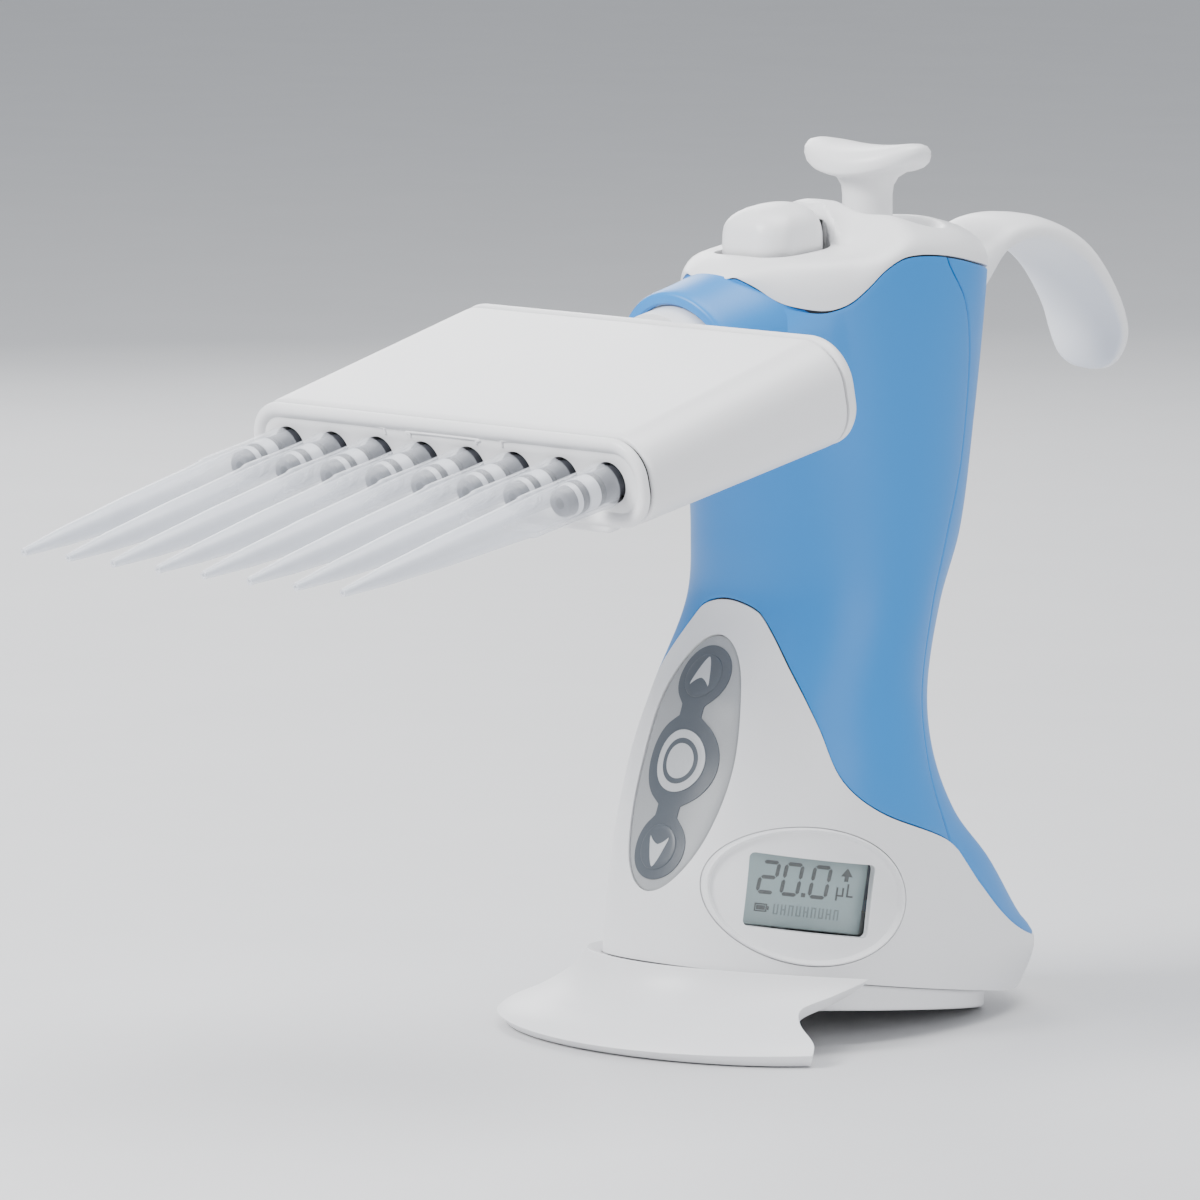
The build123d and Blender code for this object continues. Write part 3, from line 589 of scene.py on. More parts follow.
def swelled(point):
    """A point of the handle's face, drawn out towards the neck where it is near it."""
    offset = point - NECK
    along = offset.dot(ALONG)
    if along < -10 * MM:
        return point
    radial = (offset - ALONG * along).length / MM
    share = min(max((BLEND_OUT - radial) / (BLEND_OUT - BLEND_IN), 0.0), 1.0)
    share *= 1 - eased((point.z / MM - 100.0) / 7.0)
    return point + ALONG * (BLEND_PUSH * MM * share * share)


def walled(name, mesh, scene, angle=50.0):
    """Give a casing surface its wall and softened edges."""
    casing = scene.pipette_casing
    return baked(name, mesh, [
        ("SOLIDIFY", {"thickness": casing.wall, "offset": -1.0}),
        bevel(casing.seam_round / MM, angle),
    ])


def outward(mesh):
    """Point an open surface's faces away from the body's axis."""
    middle = at(0, -8, 55)
    total = 0.0
    for polygon in mesh.polygons:
        away = polygon.center - middle
        total += away.dot(polygon.normal) * polygon.area
    if total < 0:
        mesh.flip_normals()
    return mesh


class PIPETTE_OT_handle(bpy.types.Operator):
    """Build the two blue shells of the handle."""

    bl_idname = "pipette.handle"
    bl_label = "Handle shells"

    def execute(self, context):
        gap = context.scene.pipette_casing.seam_gap / MM
        slack = 1.5 * gap / 20.0
        front = shell_rows(lambda z: -seam_turn_at(z) + slack, lambda z: seam_turn_at(z) - slack,
                           BASE_HEIGHTS, CAP_HEIGHTS, gap)
        back = shell_rows(lambda z: seam_turn_at(z) + slack,
                          lambda z: TAU - seam_turn_at(z) - slack,
                          BASE_HEIGHTS, CAP_HEIGHTS, gap)
        front_mesh = walled("front_shell_form", outward(grid_mesh("front", front, False)),
                            context.scene)
        finished("front_shell_skin", front_mesh, "blue", "root", "blue_casing", "front_shell")
        back_mesh = walled("back_cover_form", outward(grid_mesh("back", back, False)),
                           context.scene)
        finished("back_cover_skin", back_mesh, "blue", "root", "blue_casing", "back_cover")
        # Dark strips behind the seams: painted shade for the seam gaps.
        self.paint_seam_shade()
        boss = self.boss_mesh()
        finished("neck_boss", boss, "blue", "root", "blue_casing")
        return {"FINISHED"}

    def paint_seam_shade(self):
        """Dark strips behind the casing's seams: painted shade that makes the seam gaps read as
        dark lines.
        """
        rings = []
        for heights, over in ((BASE_HEIGHTS, 1.0), (CAP_HEIGHTS, 0.2)):
            rows = []
            corners = ((-1.0, -0.7), (over, -0.7), (over, -1.6), (-1.0, -1.6), (-1.0, -0.7))
            for lift, depth in corners:
                row = []
                for i in range(RING):
                    turn = TAU * i / RING
                    height = around(heights, turn) + lift
                    row.append(at(*body_at(height, turn, depth), height))
                rows.append(row)
            rings.append(capped(grid_mesh("seam_shade_strip", rows, True)))
        for side in (-1, 1):
            rows = []
            for i in range(81):
                turn = seam_turn_at(60.0)
                for _ in range(12):
                    height = (around(BASE_HEIGHTS, turn) * (80 - i)
                              + around(CAP_HEIGHTS, turn) * i) / 80
                    turn = seam_turn_at(height)
                rows.append([at(*body_at(height, side * (turn + shift), depth), height)
                             for shift, depth in ((-0.05, -0.5), (0.05, -0.5), (0.05, -1.6),
                                                  (-0.05, -1.6))])
            rings.append(capped(grid_mesh("seam_shade_strip", rows, True)))
        mesh = joined("painted_seam_shade_form", rings)
        smooth_by_angle(mesh, 40.0)
        finished("painted_seam_shade", mesh, "frame", "root", "dark_frame")

    def boss_mesh(self):
        """The flared neck that grows out of the handle's front."""
        profile = [(9.6, -7.0)]
        profile += [(11.4 + 1.5 * math.exp(-(d + 7.0) / 5.0), d) for d in range(-7, 8)]
        profile += [(11.4, 7.9), (11.25, 8.3), (10.9, 8.5), (9.9, 8.5), (9.6, 8.2), (9.6, -7.0)]
        rows = []
        for radius, along in profile:
            rows.append([on_head(radius * math.sin(TAU * i / 96), radius * math.cos(TAU * i / 96),
                                 along) for i in range(96)])
        boss = capped(grid_mesh("neck_boss_walls", rows, True))
        line = [(-60.0, 109.6)] + CAP_LINE + [(40.0, 104.6), (40.0, 140.0), (-60.0, 140.0)]
        above = prisms_across("above", line, 30.0)
        return cut("neck_boss_form", boss, [above], [bevel(0.3, 60.0, 2)])


def prisms_across(name, outline, half):
    """Closed prism over a side-view outline, across the body."""
    rows = [[at(x, y, z) for y, z in outline] for x in (-half, half)]
    return capped(grid_mesh(name, rows, True))


class PIPETTE_OT_base(bpy.types.Operator):
    """Build the white base housing."""

    bl_idname = "pipette.base"
    bl_label = "Base housing"

    def execute(self, context):
        gap = context.scene.pipette_casing.seam_gap / MM
        rows = []
        lows = []
        for j in range(RING):
            low = 6.0
            for _ in range(12):
                low = under_at(body_at(low, TAU * j / RING)[1]) + 0.15
            lows.append(low)
        for share in (0.0, 0.4, 0.75, 0.93, 0.98):
            row = []
            for j, low in enumerate(lows):
                x, y = body_at(low, TAU * j / RING)
                x, y = x * share, MIDDLE_Y + (y - MIDDLE_Y) * share
                row.append(at(x, y, under_at(y) + 0.15))
            rows.append(row)
        for i in range(ROWS + 1):
            up = (i / ROWS) ** 0.9
            row = []
            for j, low in enumerate(lows):
                turn = TAU * j / RING
                height = low * (1 - up) + (around(BASE_HEIGHTS, turn) - gap) * up
                x, y = body_at(height, turn)
                row.append(at(x, y, height))
            rows.append(row)
        surface = outward(merged(grid_mesh("base", rows, True), 1e-6))
        walls = walled("base_walls", surface, context.scene, 40.0)
        shares = [i / 6 for i in range(7)]
        cutters = []
        for plane, oval in ((KEYPAD, KEYPAD_OVAL), (DISPLAY, DISPLAY_OVAL)):
            profile = [(s, 3.0) for s in shares] + [(s, -1.0) for s in reversed(shares)]
            cutters.append(disc_on_body("cutter", plane, (0, 0), oval, profile, 128))
        cutters.append(rounded_prism("cutter", on_display, rounded(*WINDOW, 0.8), -6.0, 8.0))
        mesh = cut("base_housing_form", walls, cutters, [bevel(0.18, 65.0, 2)])
        finished("base_housing_skin", mesh, "white", "root", "white_casing", "base_housing")
        return {"FINISHED"}


def between(first, corner, last, steps):
    """Points of a rounded corner from one point to another about the corner between them."""
    found = []
    for i in range(steps + 1):
        u = i / steps
        found.append(first * (1 - u) ** 2 + corner * (2 * u * (1 - u)) + last * u * u)
    return found


def cut(name, mesh, cutters, modifiers=()):
    """A closed mesh with other closed meshes taken out of it."""
    tools = []
    for tool_mesh in cutters:
        tool = bpy.data.objects.new("cutter", tool_mesh)
        bpy.context.scene.collection.objects.link(tool)
        tools.append(tool)
    steps = [("BOOLEAN", {"object": tool, "operation": "DIFFERENCE", "solver": "EXACT"})
             for tool in tools]
    result = baked(name, mesh, steps + list(modifiers))
    for tool in tools:
        bpy.data.objects.remove(tool)
    return result


def bevel(width, angle=50.0, segments=3):
    """Settings of an edge-softening step, in millimetres."""
    return ("BEVEL", {"width": width * MM, "segments": segments, "limit_method": "ANGLE",
                      "angle_limit": math.radians(angle)})


def joined(name, meshes):
    """One mesh out of several separate closed ones."""
    edit = bmesh.new()
    for mesh in meshes:
        edit.from_mesh(mesh)
    whole = bpy.data.meshes.new(name)
    edit.to_mesh(whole)
    edit.free()
    return whole


def rounded(width, height, corner, lift=0.0, per_corner=14):
    """Points round a rounded rectangle."""
    points = []
    for quarter in range(4):
        cx = (width / 2 - corner) * (1 if quarter in (0, 3) else -1)
        cy = (height / 2 - corner) * (1 if quarter in (0, 1) else -1)
        for i in range(per_corner + 1):
            a = math.pi / 2 * (quarter + i / per_corner)
            points.append((cx + corner * math.cos(a), cy + corner * math.sin(a) + lift))
    return points


def spline_at(points, share):
    """Point of a smooth line through points, by its share of the way."""
    place = share * (len(points) - 1)
    i = min(int(place), len(points) - 2)
    u = place - i
    p = [Vector(points[min(max(i + k, 0), len(points) - 1)]) for k in (-1, 0, 1, 2)]
    return (p[1] * 2 + (p[2] - p[0]) * u + (p[0] * 2 - p[1] * 5 + p[2] * 4 - p[3]) * u * u
            + (p[1] * 3 - p[0] - p[2] * 3 + p[3]) * u ** 3) / 2


# ---------------------------------------------------------------- panels that lie on the body
def panel_frame(origin, out, across):
    """Origin and three directions of a plane that a panel is drawn on."""
    out = Vector(out).normalized()
    across = Vector(across).normalized()
    return Vector(origin), across, out.cross(across), out


LEAN = math.radians(21.0)
KEYPAD = panel_frame((0.0, -37.3, 39.3), (0.0, -math.cos(LEAN), math.sin(LEAN)), (1, 0, 0))
TURN = math.radians(25.0)
DROP = math.radians(8.5)
DISPLAY = panel_frame((18.2, -30.4, 21.5), (math.cos(TURN), -math.sin(TURN), 0.0),
                      (math.sin(TURN) * math.cos(DROP), math.cos(TURN) * math.cos(DROP),
                       -math.sin(DROP)))
KEYPAD_OVAL = (8.9, 19.0)
DISPLAY_OVAL = (15.2, 9.8)
WINDOW = (18.6, 10.4)
KEY_STEP = 12.6
KEY_RADIUS = 3.3
ENTER_RADIUS = 4.6
KEY_LOBE = 4.7          # radii of the dark surround round an arrow key and the middle key
ENTER_LOBE = 6.6
BLOB_WAIST = 2.1        # its half width between them


def on_panel(frame_of, u, v, depth):
    """Point in metres on a panel's plane, at a depth under it."""
    origin, across, up, out = frame_of
    p = origin + across * u + up * v - out * depth
    return at(p.x, p.y, p.z)


def at_trigger(x, y, z):
    """Point in metres about the trigger block's middle."""
    return at(x, y + TRIGGER_Y, z)


def on_display(x, y, depth):
    """Point in metres on the display's plane, at a depth under it."""
    return on_panel(DISPLAY, x, y, depth)


def on_body(frame_of, u, v, grow):
    """Point in metres where a line square to a panel's plane meets the grown body."""
    origin, across, up, out = frame_of
    start = origin + across * u + up * v
    low, high = -14.0, 9.0
    for _ in range(16):
        middle = (low + high) / 2
        p = start + out * middle
        wide_y, half, front, back = (curve_at(BODY, p.z, c) for c in (1, 2, 3, 4))
        reach = front if p.y < wide_y else back
        inside = (p.x / (half + grow)) ** 2 + ((p.y - wide_y) / (reach + grow)) ** 2 < 1
        low, high = (middle, high) if inside else (low, middle)
    p = start + out * low
    return at(p.x, p.y, p.z)


def disc_on_body(name, frame_of, centre, radii, profile, sides=96):
    """Closed oval form on the body, from pairs of radius share and height over its face."""
    rows = []
    for share, grow in profile:
        rows.append([on_body(frame_of, centre[0] + radii[0] * share * math.cos(TAU * i / sides),
                             centre[1] + radii[1] * share * math.sin(TAU * i / sides), grow)
                     for i in range(sides)])
    return capped(grid_mesh(name, rows, True))


def strip_on_body(name, frame_of, grid, top, bottom):
    """Closed form on the body over a grid of plane points, with a softened rim."""
    count = len(grid[0])
    loops = []
    for row in grid:
        upper = [on_body(frame_of, u, v, top) for u, v in row]
        lower = [on_body(frame_of, u, v, bottom) for u, v in row]
        loops.append(upper + lower[::-1])
    mesh = grid_mesh(name, loops, True)
    edit = bmesh.new()
    edit.from_mesh(mesh)
    edit.verts.ensure_lookup_table()
    size = 2 * count
    for start in (0, (len(grid) - 1) * size):
        for j in range(count - 1):
            ring = (start + j, start + j + 1, start + size - 2 - j, start + size - 1 - j)
            edit.faces.new([edit.verts[k] for k in ring])
    edit.to_mesh(mesh)
    edit.free()
    return capped(mesh)


def plate_profile(top, bottom, soft=0.12, rings=5):
    """Profile of a thin disc with a softened rim."""
    inner = [(0.96 * i / rings, top) for i in range(rings + 1)]
    rim = [(0.985, top - soft * 0.3), (1.0, top - soft), (1.0, bottom)]
    return inner + rim + [(0.96 * (rings - i) / rings, bottom) for i in range(rings + 1)]


def blob_half(v):
    """Half width of the dark surround of the keys at a place along the keypad."""
    widest = BLOB_WAIST
    for place, radius in ((KEY_STEP, KEY_LOBE), (0.0, ENTER_LOBE), (-KEY_STEP, KEY_LOBE)):
        inside = radius ** 2 - (v - place) ** 2
        if inside > 0:
            widest = (widest ** 6 + inside ** 3) ** (1 / 6)
    past = abs(v) - KEY_STEP
    if past > 0:
        widest = min(widest, math.sqrt(max(KEY_LOBE ** 2 - past ** 2, 0.0)))
    ends = (KEY_STEP + KEY_LOBE) ** 2 - v ** 2
    return min(widest, math.sqrt(max(ends, 0.0)) * KEY_LOBE)


def blob_grid():
    """Grid of plane points that fills the dark surround."""
    end = KEY_STEP + KEY_LOBE
    rows = []
    for i in range(91):
        v = -end * math.cos(math.pi * i / 90) * 0.99999
        half = blob_half(v)
        rows.append([(half * (2 * j / 16 - 1), v) for j in range(17)])
    return rows


def arrow_grid(sign):
    """Grid of plane points that fills a curved arrowhead."""
    rows = []
    for i in range(25):
        u = 1.75 * (2 * i / 24 - 1)
        share = abs(u) / 1.75
        high = 2.9 - 4.0 * share ** 1.5
        low = -0.7 - 0.8 * share ** 2 + 0.35 * (1 - share)
        low = min(low, high - 0.05)
        rows.append([(u, sign * (low + (high - low) * j / 8 + KEY_STEP)) for j in range(9)])
    return rows


# ---------------------------------------------------------------- display figures
SEGMENTS = {"0": "abcdef", "2": "abged"}
# corner, width and height of the bars of the unit and of the battery mark
UNIT_BARS = ((4.9, -0.6, 0.25, 1.9), (4.9, 0.0, 1.1, 0.25), (5.8, 0.0, 0.25, 1.3),
             (6.5, 0.0, 0.25, 1.9), (6.5, 0.0, 1.0, 0.25))
BATTERY_BARS = ((-7.1, -3.2, 1.9, 0.18), (-7.1, -2.2, 1.9, 0.18), (-7.1, -3.2, 0.18, 1.18),
                (-5.38, -3.2, 0.18, 1.18), (-5.2, -2.9, 0.3, 0.55), (-6.8, -2.92, 1.3, 0.62))


def bar(u0, v0, u1, v1, thick):
    """Six-cornered bar between two points."""
    start, end = Vector((u0, v0)), Vector((u1, v1))
    run = (end - start).normalized()
    side = Vector((-run.y, run.x)) * thick / 2
    a, b = start + run * thick / 2, end - run * thick / 2
    return [start, a - side, b - side, end, b + side, a + side]


def figure(mark, u, v, width, height, thick):
    """Seven-bar figure with a slight slant."""
    top, middle, gap = height, height / 2, thick * 0.16
    lines = {"a": (gap, top, width - gap, top), "g": (gap, middle, width - gap, middle),
             "d": (gap, 0, width - gap, 0), "f": (0, middle + gap, 0, top - gap),
             "b": (width, middle + gap, width, top - gap), "e": (0, gap, 0, middle - gap),
             "c": (width, gap, width, middle - gap)}
    shapes = []
    for key in SEGMENTS[mark]:
        shapes.append([Vector((u + p.x + p.y * 0.09, v + p.y))
                       for p in bar(*lines[key], thick)])
    return shapes


def box_shape(u, v, width, height):
    """Outline of a rectangle."""
    return [Vector((u, v)), Vector((u + width, v)), Vector((u + width, v + height)),
            Vector((u, v + height))]


def prisms(name, frame_of, shapes, top, bottom):
    """Thin prisms over flat outlines on a panel's plane."""
    edit = bmesh.new()
    for shape in shapes:
        upper = [edit.verts.new(on_panel(frame_of, p.x, p.y, top)) for p in shape]
        lower = [edit.verts.new(on_panel(frame_of, p.x, p.y, bottom)) for p in shape]
        edit.faces.new(upper)
        edit.faces.new(lower[::-1])
        for i in range(len(shape)):
            k = (i + 1) % len(shape)
            edit.faces.new((upper[i], lower[i], lower[k], upper[k]))
    bmesh.ops.recalc_face_normals(edit, faces=edit.faces)
    mesh = bpy.data.meshes.new(name)
    edit.to_mesh(mesh)
    edit.free()
    return mesh


def rounded_prism(name, place, outline, low, high):
    """Closed prism over an outline, between two distances of a placing function."""
    rows = [[place(x, y, low) for x, y in outline], [place(x, y, high) for x, y in outline]]
    return capped(grid_mesh(name, rows, True))


class PIPETTE_OT_cap(bpy.types.Operator):
    """Build the white top cap with its bowl and the trigger's well."""

    bl_idname = "pipette.cap"
    bl_label = "Top cap"

    def execute(self, context):
        gap = context.scene.pipette_casing.seam_gap / MM
        columns = []
        for i in range(RING):
            columns.append(self.column(TAU * i / RING, gap))
        rows = [list(row) for row in zip(*columns)]
        surface = outward(grid_mesh("cap", rows, True))
        walls = walled("cap_walls", surface, context.scene, 60.0)
        well = rounded_prism("well", at_trigger, rounded(WELL[0], *WELL), 107.5, 124.0)
        mesh = cut("top_cap_form", walls, [well], [bevel(0.3, 55.0, 2)])
        finished("top_cap_skin", mesh, "white", "root", "white_casing", "top_cap")
        self.liner()
        return {"FINISHED"}

    def column(self, turn, gap):
        """Points of the cap's surface from its lower edge over the rim into the bowl."""
        edge_z = roof_line_at(turn)
        low = around(CAP_HEIGHTS, turn) + gap
        drop = min(4.6, (edge_z - low) * 0.85)
        points = []
        for i in range(9):
            z = low + (edge_z - drop - low) * i / 8
            points.append(Vector((*body_at(z, turn), z)))
        edge = Vector((*body_at(edge_z, turn), edge_z))
        bowl = math.atan2(edge.y / BOWL_RIM[1], edge.x / BOWL_RIM[0])
        rim = Vector((BOWL_RIM[0] * math.cos(bowl), BOWL_RIM[1] * math.sin(bowl), 0))
        floor = Vector((BOWL_FLOOR[0] * math.cos(bowl), BOWL_FLOOR[1] * math.sin(bowl),
                        BOWL_BOTTOM))
        rim.z = roof(rim.x, rim.y)
        inward = Vector((rim.x - edge.x, rim.y - edge.y, 0))
        length = inward.length
        inward.normalize()

        def over(distance):
            p = edge + inward * distance
            return Vector((p.x, p.y, roof(p.x, p.y)))

        curl = min(4.6, length * 0.6)
        points += between(points.pop(), edge, over(curl), 8)
        for i in range(1, 41):
            points.append(over(curl + (length - 0.9 - curl) * i / 40))
        down = (floor - rim).normalized()
        points += between(points.pop(), rim, rim + down * 1.1, 5)
        toward = Vector((-floor.x, -floor.y, 0)).normalized()
        points += between(floor - down * 1.6, floor, floor + toward * 1.6, 5)
        flat = Vector((floor.x, floor.y, 0)).normalized() * 4.0
        points.append(Vector((flat.x, flat.y, BOWL_BOTTOM)))
        points.append(Vector((flat.x, flat.y, BOWL_BOTTOM - 1.0)))
        return [at(p.x, p.y, p.z) for p in points]

    def liner(self):
        """Walls and floor of the well under the cap."""
        def ring(size, corner, level):
            return [at(x, y + TRIGGER_Y, min(roof(x, y + TRIGGER_Y), 117.6) - 1.2 if level is None
                       else level) for x, y in rounded(size, size, corner)]

        rows = [ring(0.4, 0.1, LINER_LOW), ring(*LINER, LINER_LOW), ring(*LINER, None),
                ring(*WELL, None), ring(*WELL, WELL_FLOOR), ring(0.4, 0.1, WELL_FLOOR)]
        mesh = capped(grid_mesh("trigger_well_form", rows, True))
        smooth_by_angle(mesh, 40.0)
        finished("trigger_well", mesh, "white", "root", "white_casing")


class PIPETTE_OT_controls(bpy.types.Operator):
    """Build the thumb knob and the trigger block."""

    bl_idname = "pipette.controls"
    bl_label = "Knob and trigger"

    def execute(self, context):
        profile = [(3.6, 3.6, 109.6, 0), (3.6, 3.6, 114, 0), (3.6, 3.6, 117.4, 0),
                   (3.8, 3.7, 118.8, 0.1), (4.6, 4.2, 120.0, 0.3), (6.4, 5.0, 120.9, 0.7),
                   (8.6, 5.8, 121.3, 1), (9.8, 6.2, 121.6, 1), (10.5, 6.5, 122.1, 1),
                   (10.8, 6.6, 122.8, 1), (10.75, 6.55, 123.5, 1), (10.3, 6.2, 124.1, 1),
                   (9.4, 5.6, 124.45, 1), (8.0, 4.7, 124.6, 1), (6.0, 3.5, 124.6, 1),
                   (3.5, 2.0, 124.6, 1), (1.5, 0.9, 124.6, 1), (0.0, 0.0, 124.6, 1)]
        rows = []
        for half_x, half_y, z, bend in profile:
            row = []
            for i in range(96):
                x, y = half_x * math.cos(TAU * i / 96), half_y * math.sin(TAU * i / 96)
                saddle = (x / KNOB_HALF[0]) ** 2 - 1.2 * (y / KNOB_HALF[1]) ** 2
                row.append(at(x, y, z + bend * saddle))
            rows.append(row)
        knob = capped(grid_mesh("ejector_knob_form", rows, True))
        smooth_by_angle(knob, 60.0)
        finished("ejector_knob_skin", knob, "white", "ejector", "white_casing", "ejector_knob")
        rows = []
        for inset, z in ((0.3, 110.2), (0.0, 110.6), (0.0, 112.0), (0.05, 113.6), (0.2, 114.8),
                         (0.5, 115.8), (1.0, 116.7), (1.7, 117.4), (2.6, 117.9), (3.6, 118.15),
                         (4.8, 118.25), (6.0, 118.3)):
            share = max(0.0, (z - 114.0) / 4.0)
            size, corner = BLOCK_SIZE - 2 * inset, max(4.0 - inset * 0.4, 0.2)
            corner = min(corner, size / 2 - 0.01)
            rows.append([at_trigger(x, y, z - 0.3 + share * (y - 6.2) * 0.1
                                    - share * x * x * 0.015)
                         for x, y in rounded(size, size, corner)])
        block = capped(grid_mesh("trigger_button_form", rows, True))
        smooth_by_angle(block, 50.0)
        finished("trigger_button_skin", block, "white", "trigger", "white_casing",
                 "trigger_button")
        for stem in ("ejector", "trigger"):
            self.spring(stem + "_spring", JOINTS[stem + "_press"])
        return {"FINISHED"}

    def spring(self, node, joint):
        """A coil copied from its CAD node, which keeps its length as its joint is pressed."""
        mesh = frame["nodes"][node].data.copy()
        mesh.name = node + "_form"
        smooth_by_angle(merged(mesh, 2e-6), 50.0)
        coil = finished(node + "_coil", mesh, "steel", "root", "steel", node)
        low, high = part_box(node)
        length = high[2] - low[2]
        travel = max(abs(limit) for limit in joint["range_m"])
        (length - travel) / length
        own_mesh(coil)


class PIPETTE_OT_hook(bpy.types.Operator):
    """Build the curved finger hook."""

    bl_idname = "pipette.hook"
    bl_label = "Finger hook"

    def execute(self, context):
        outer = [(14.0, 108.2), (19.5, 110.3), (25.0, 112.6), (32.0, 112.4), (40.5, 108.6),
                 (46.6, 101.4), (49.0, 95.0), (48.0, 88.9)]
        inner = [(15.5, 99.0), (18.6, 103.4), (21.6, 107.4), (26.2, 109.2), (31.6, 108.6),
                 (38.6, 105.0), (43.6, 99.4), (45.9, 94.6), (45.9, 89.2)]
        rows = []
        steps = 96
        for i in range(steps + 1):
            share = i / steps
            top, bottom = spline_at(outer, share), spline_at(inner, share)
            middle, half = (top + bottom) / 2, (top - bottom) / 2
            wide = 6.9 + 0.7 * min(1.0, share * 1.6)
            if share > 0.84:
                tail = (share - 0.84) / 0.16
                wide *= math.sqrt(max(1 - tail * tail, 0.0)) * 0.985 + 0.015
                half *= max(1 - tail ** 6, 0.02)
            row = []
            for j in range(48):
                a = TAU * j / 48
                c, s = math.cos(a), math.sin(a)
                x = wide * math.copysign(abs(c) ** 0.5, c)
                off = math.copysign(abs(s) ** 0.75, s)
                arch = 0.9 * (1 - (x / 7.6) ** 2) * min(1.0, share * 4) - 0.45
                p = middle + half * off + half.normalized() * arch
                row.append(at(x, p.x, p.y))
            rows.append(row)
        mesh = capped(grid_mesh("finger_hook_form", rows, True))
        smooth_by_angle(mesh, 50.0)
        finished("finger_hook_skin", mesh, "white", "root", "white_casing", "finger_hook")
        return {"FINISHED"}


class PIPETTE_OT_foot(bpy.types.Operator):
    """Build the flared foot and its plinth."""

    bl_idname = "pipette.foot"
    bl_label = "Foot"

    def execute(self, context):
        rows = []
        for i in range(41):
            share = (i / 40) ** 1.4
            low, high = -math.pi / 2, 0.5
            for _ in range(24):
                middle = (low + high) / 2
                _, y, height = self.apron_at(middle, share)
                inside = y < curve_at(APRON_REAR, height, 1)
                low, high = (middle, high) if inside else (low, middle)
            reach = low + math.pi / 2
            rows.append([at(*self.apron_at(-math.pi / 2 + reach * (j / 60 - 1), share))
                         for j in range(121)])
        apron = baked("apron", outward(grid_mesh("apron", rows, False)), [
            ("SOLIDIFY", {"thickness": 2.2 * MM, "offset": -1.0}), bevel(0.7, 50.0, 4)])
        plinth = self.plinth()
        mesh = joined("foot_form", [apron, plinth])
        finished("foot_skin", mesh, "white", "root", "white_casing", "foot")
        return {"FINISHED"}

    def apron_at(self, angle, share):
        """Point of the flare at an angle, from the ground (share 0) to the base (share 1)."""
        height = 5.0
        for _ in range(10):
            flare = curve_at(FLARE, height, 1)
            x, y = APRON_TOP[0] * math.cos(angle), MIDDLE_Y + APRON_TOP[1] * math.sin(angle)
            x += flare * (APRON_GROUND[0] * math.cos(angle) - x)
            y += flare * (APRON_GROUND_Y + APRON_GROUND[1] * math.sin(angle) - y)
            height = 0.15 + (under_at(y) - 0.2) * share
        return x, y, height

    def plinth(self):
        """Low block under the base, down to the heel on the ground."""
        def spot(turn, level):
            height = 6.0
            for _ in range(8):
                x, y = body_at(height, turn, -0.6)
                if math.cos(turn) < 0:
                    y = MIDDLE_Y - HEEL_REACH * math.cos(turn)
                height = level(y)
            return at(x, y, height)

        def under(y):
            return max(curve_at(PLINTH_UNDER, y, 1), 0.0)

        levels = [under] + [lambda y, s=s: under(y) + (under_at(y) - under(y)) * s
                            for s in (0.25, 0.5, 0.75, 1.0)]
        rows = [[spot(TAU * j / RING, level) for j in range(RING)] for level in levels]
        return baked("plinth", capped(grid_mesh("plinth", rows, True)), [bevel(0.5, 60.0)])


class PIPETTE_OT_keypad(bpy.types.Operator):
    """Build the keypad's panel, dark surround and three keys."""

    bl_idname = "pipette.keypad"
    bl_label = "Keypad"

    def execute(self, context):
        panel = disc_on_body("keypad_panel_form", KEYPAD, (0, 0),
                             (KEYPAD_OVAL[0] - 0.12, KEYPAD_OVAL[1] - 0.12),
                             plate_profile(-0.22, -0.95, 0.15, 9), 128)
        smooth_by_angle(panel, 50.0)
        finished("keypad_panel_skin", panel, "panel", "root", "grey_panel", "keypad_panel")
        blob = strip_on_body("keypad_overlay_form", KEYPAD, blob_grid(), -0.08, -0.5)
        smooth_by_angle(blob, 50.0)
        finished("keypad_overlay_skin", blob, "keys", "root", "dark_keys", "keypad_overlay")
        arrow_keys = (("key_up", "up_key", KEY_STEP), ("key_down", "down_key", -KEY_STEP))
        for name, body, place in arrow_keys:
            face = disc_on_body(name + "_form", KEYPAD, (0, place), (KEY_RADIUS,) * 2,
                                plate_profile(0.06, -1.2, 0.1))
            smooth_by_angle(face, 50.0)
            finished(name + "_face", face, "keys", body, "dark_keys", name)
            arrow = strip_on_body(name + "_arrow", KEYPAD, arrow_grid(1 if place > 0 else -1),
                                  0.1, -0.1)
            smooth_by_angle(arrow, 50.0)
            finished(name + "_arrow", arrow, "legend", body, "grey_panel")
        face = disc_on_body("key_enter_form", KEYPAD, (0, 0), (ENTER_RADIUS,) * 2,
                            plate_profile(0.04, -1.2, 0.1))
        smooth_by_angle(face, 50.0)
        finished("key_enter_face", face, "keys", "enter_key", "dark_keys", "key_enter")
        ring = disc_on_body("key_enter_ring", KEYPAD, (0, 0), (4.5, 4.5),
                            [(0.74, -0.1), (0.74, 0.07), (0.76, 0.1), (0.98, 0.1), (1.0, 0.07),
                             (1.0, -0.1), (0.74, -0.1)])
        smooth_by_angle(ring, 50.0)
        finished("key_enter_ring", ring, "legend", "enter_key", "grey_panel")
        centre = disc_on_body("key_enter_centre", KEYPAD, (0, 0), (2.55, 2.55),
                              plate_profile(0.1, -0.1, 0.04))
        smooth_by_angle(centre, 50.0)
        finished("key_enter_centre", centre, "legend", "enter_key", "grey_panel")
        return {"FINISHED"}


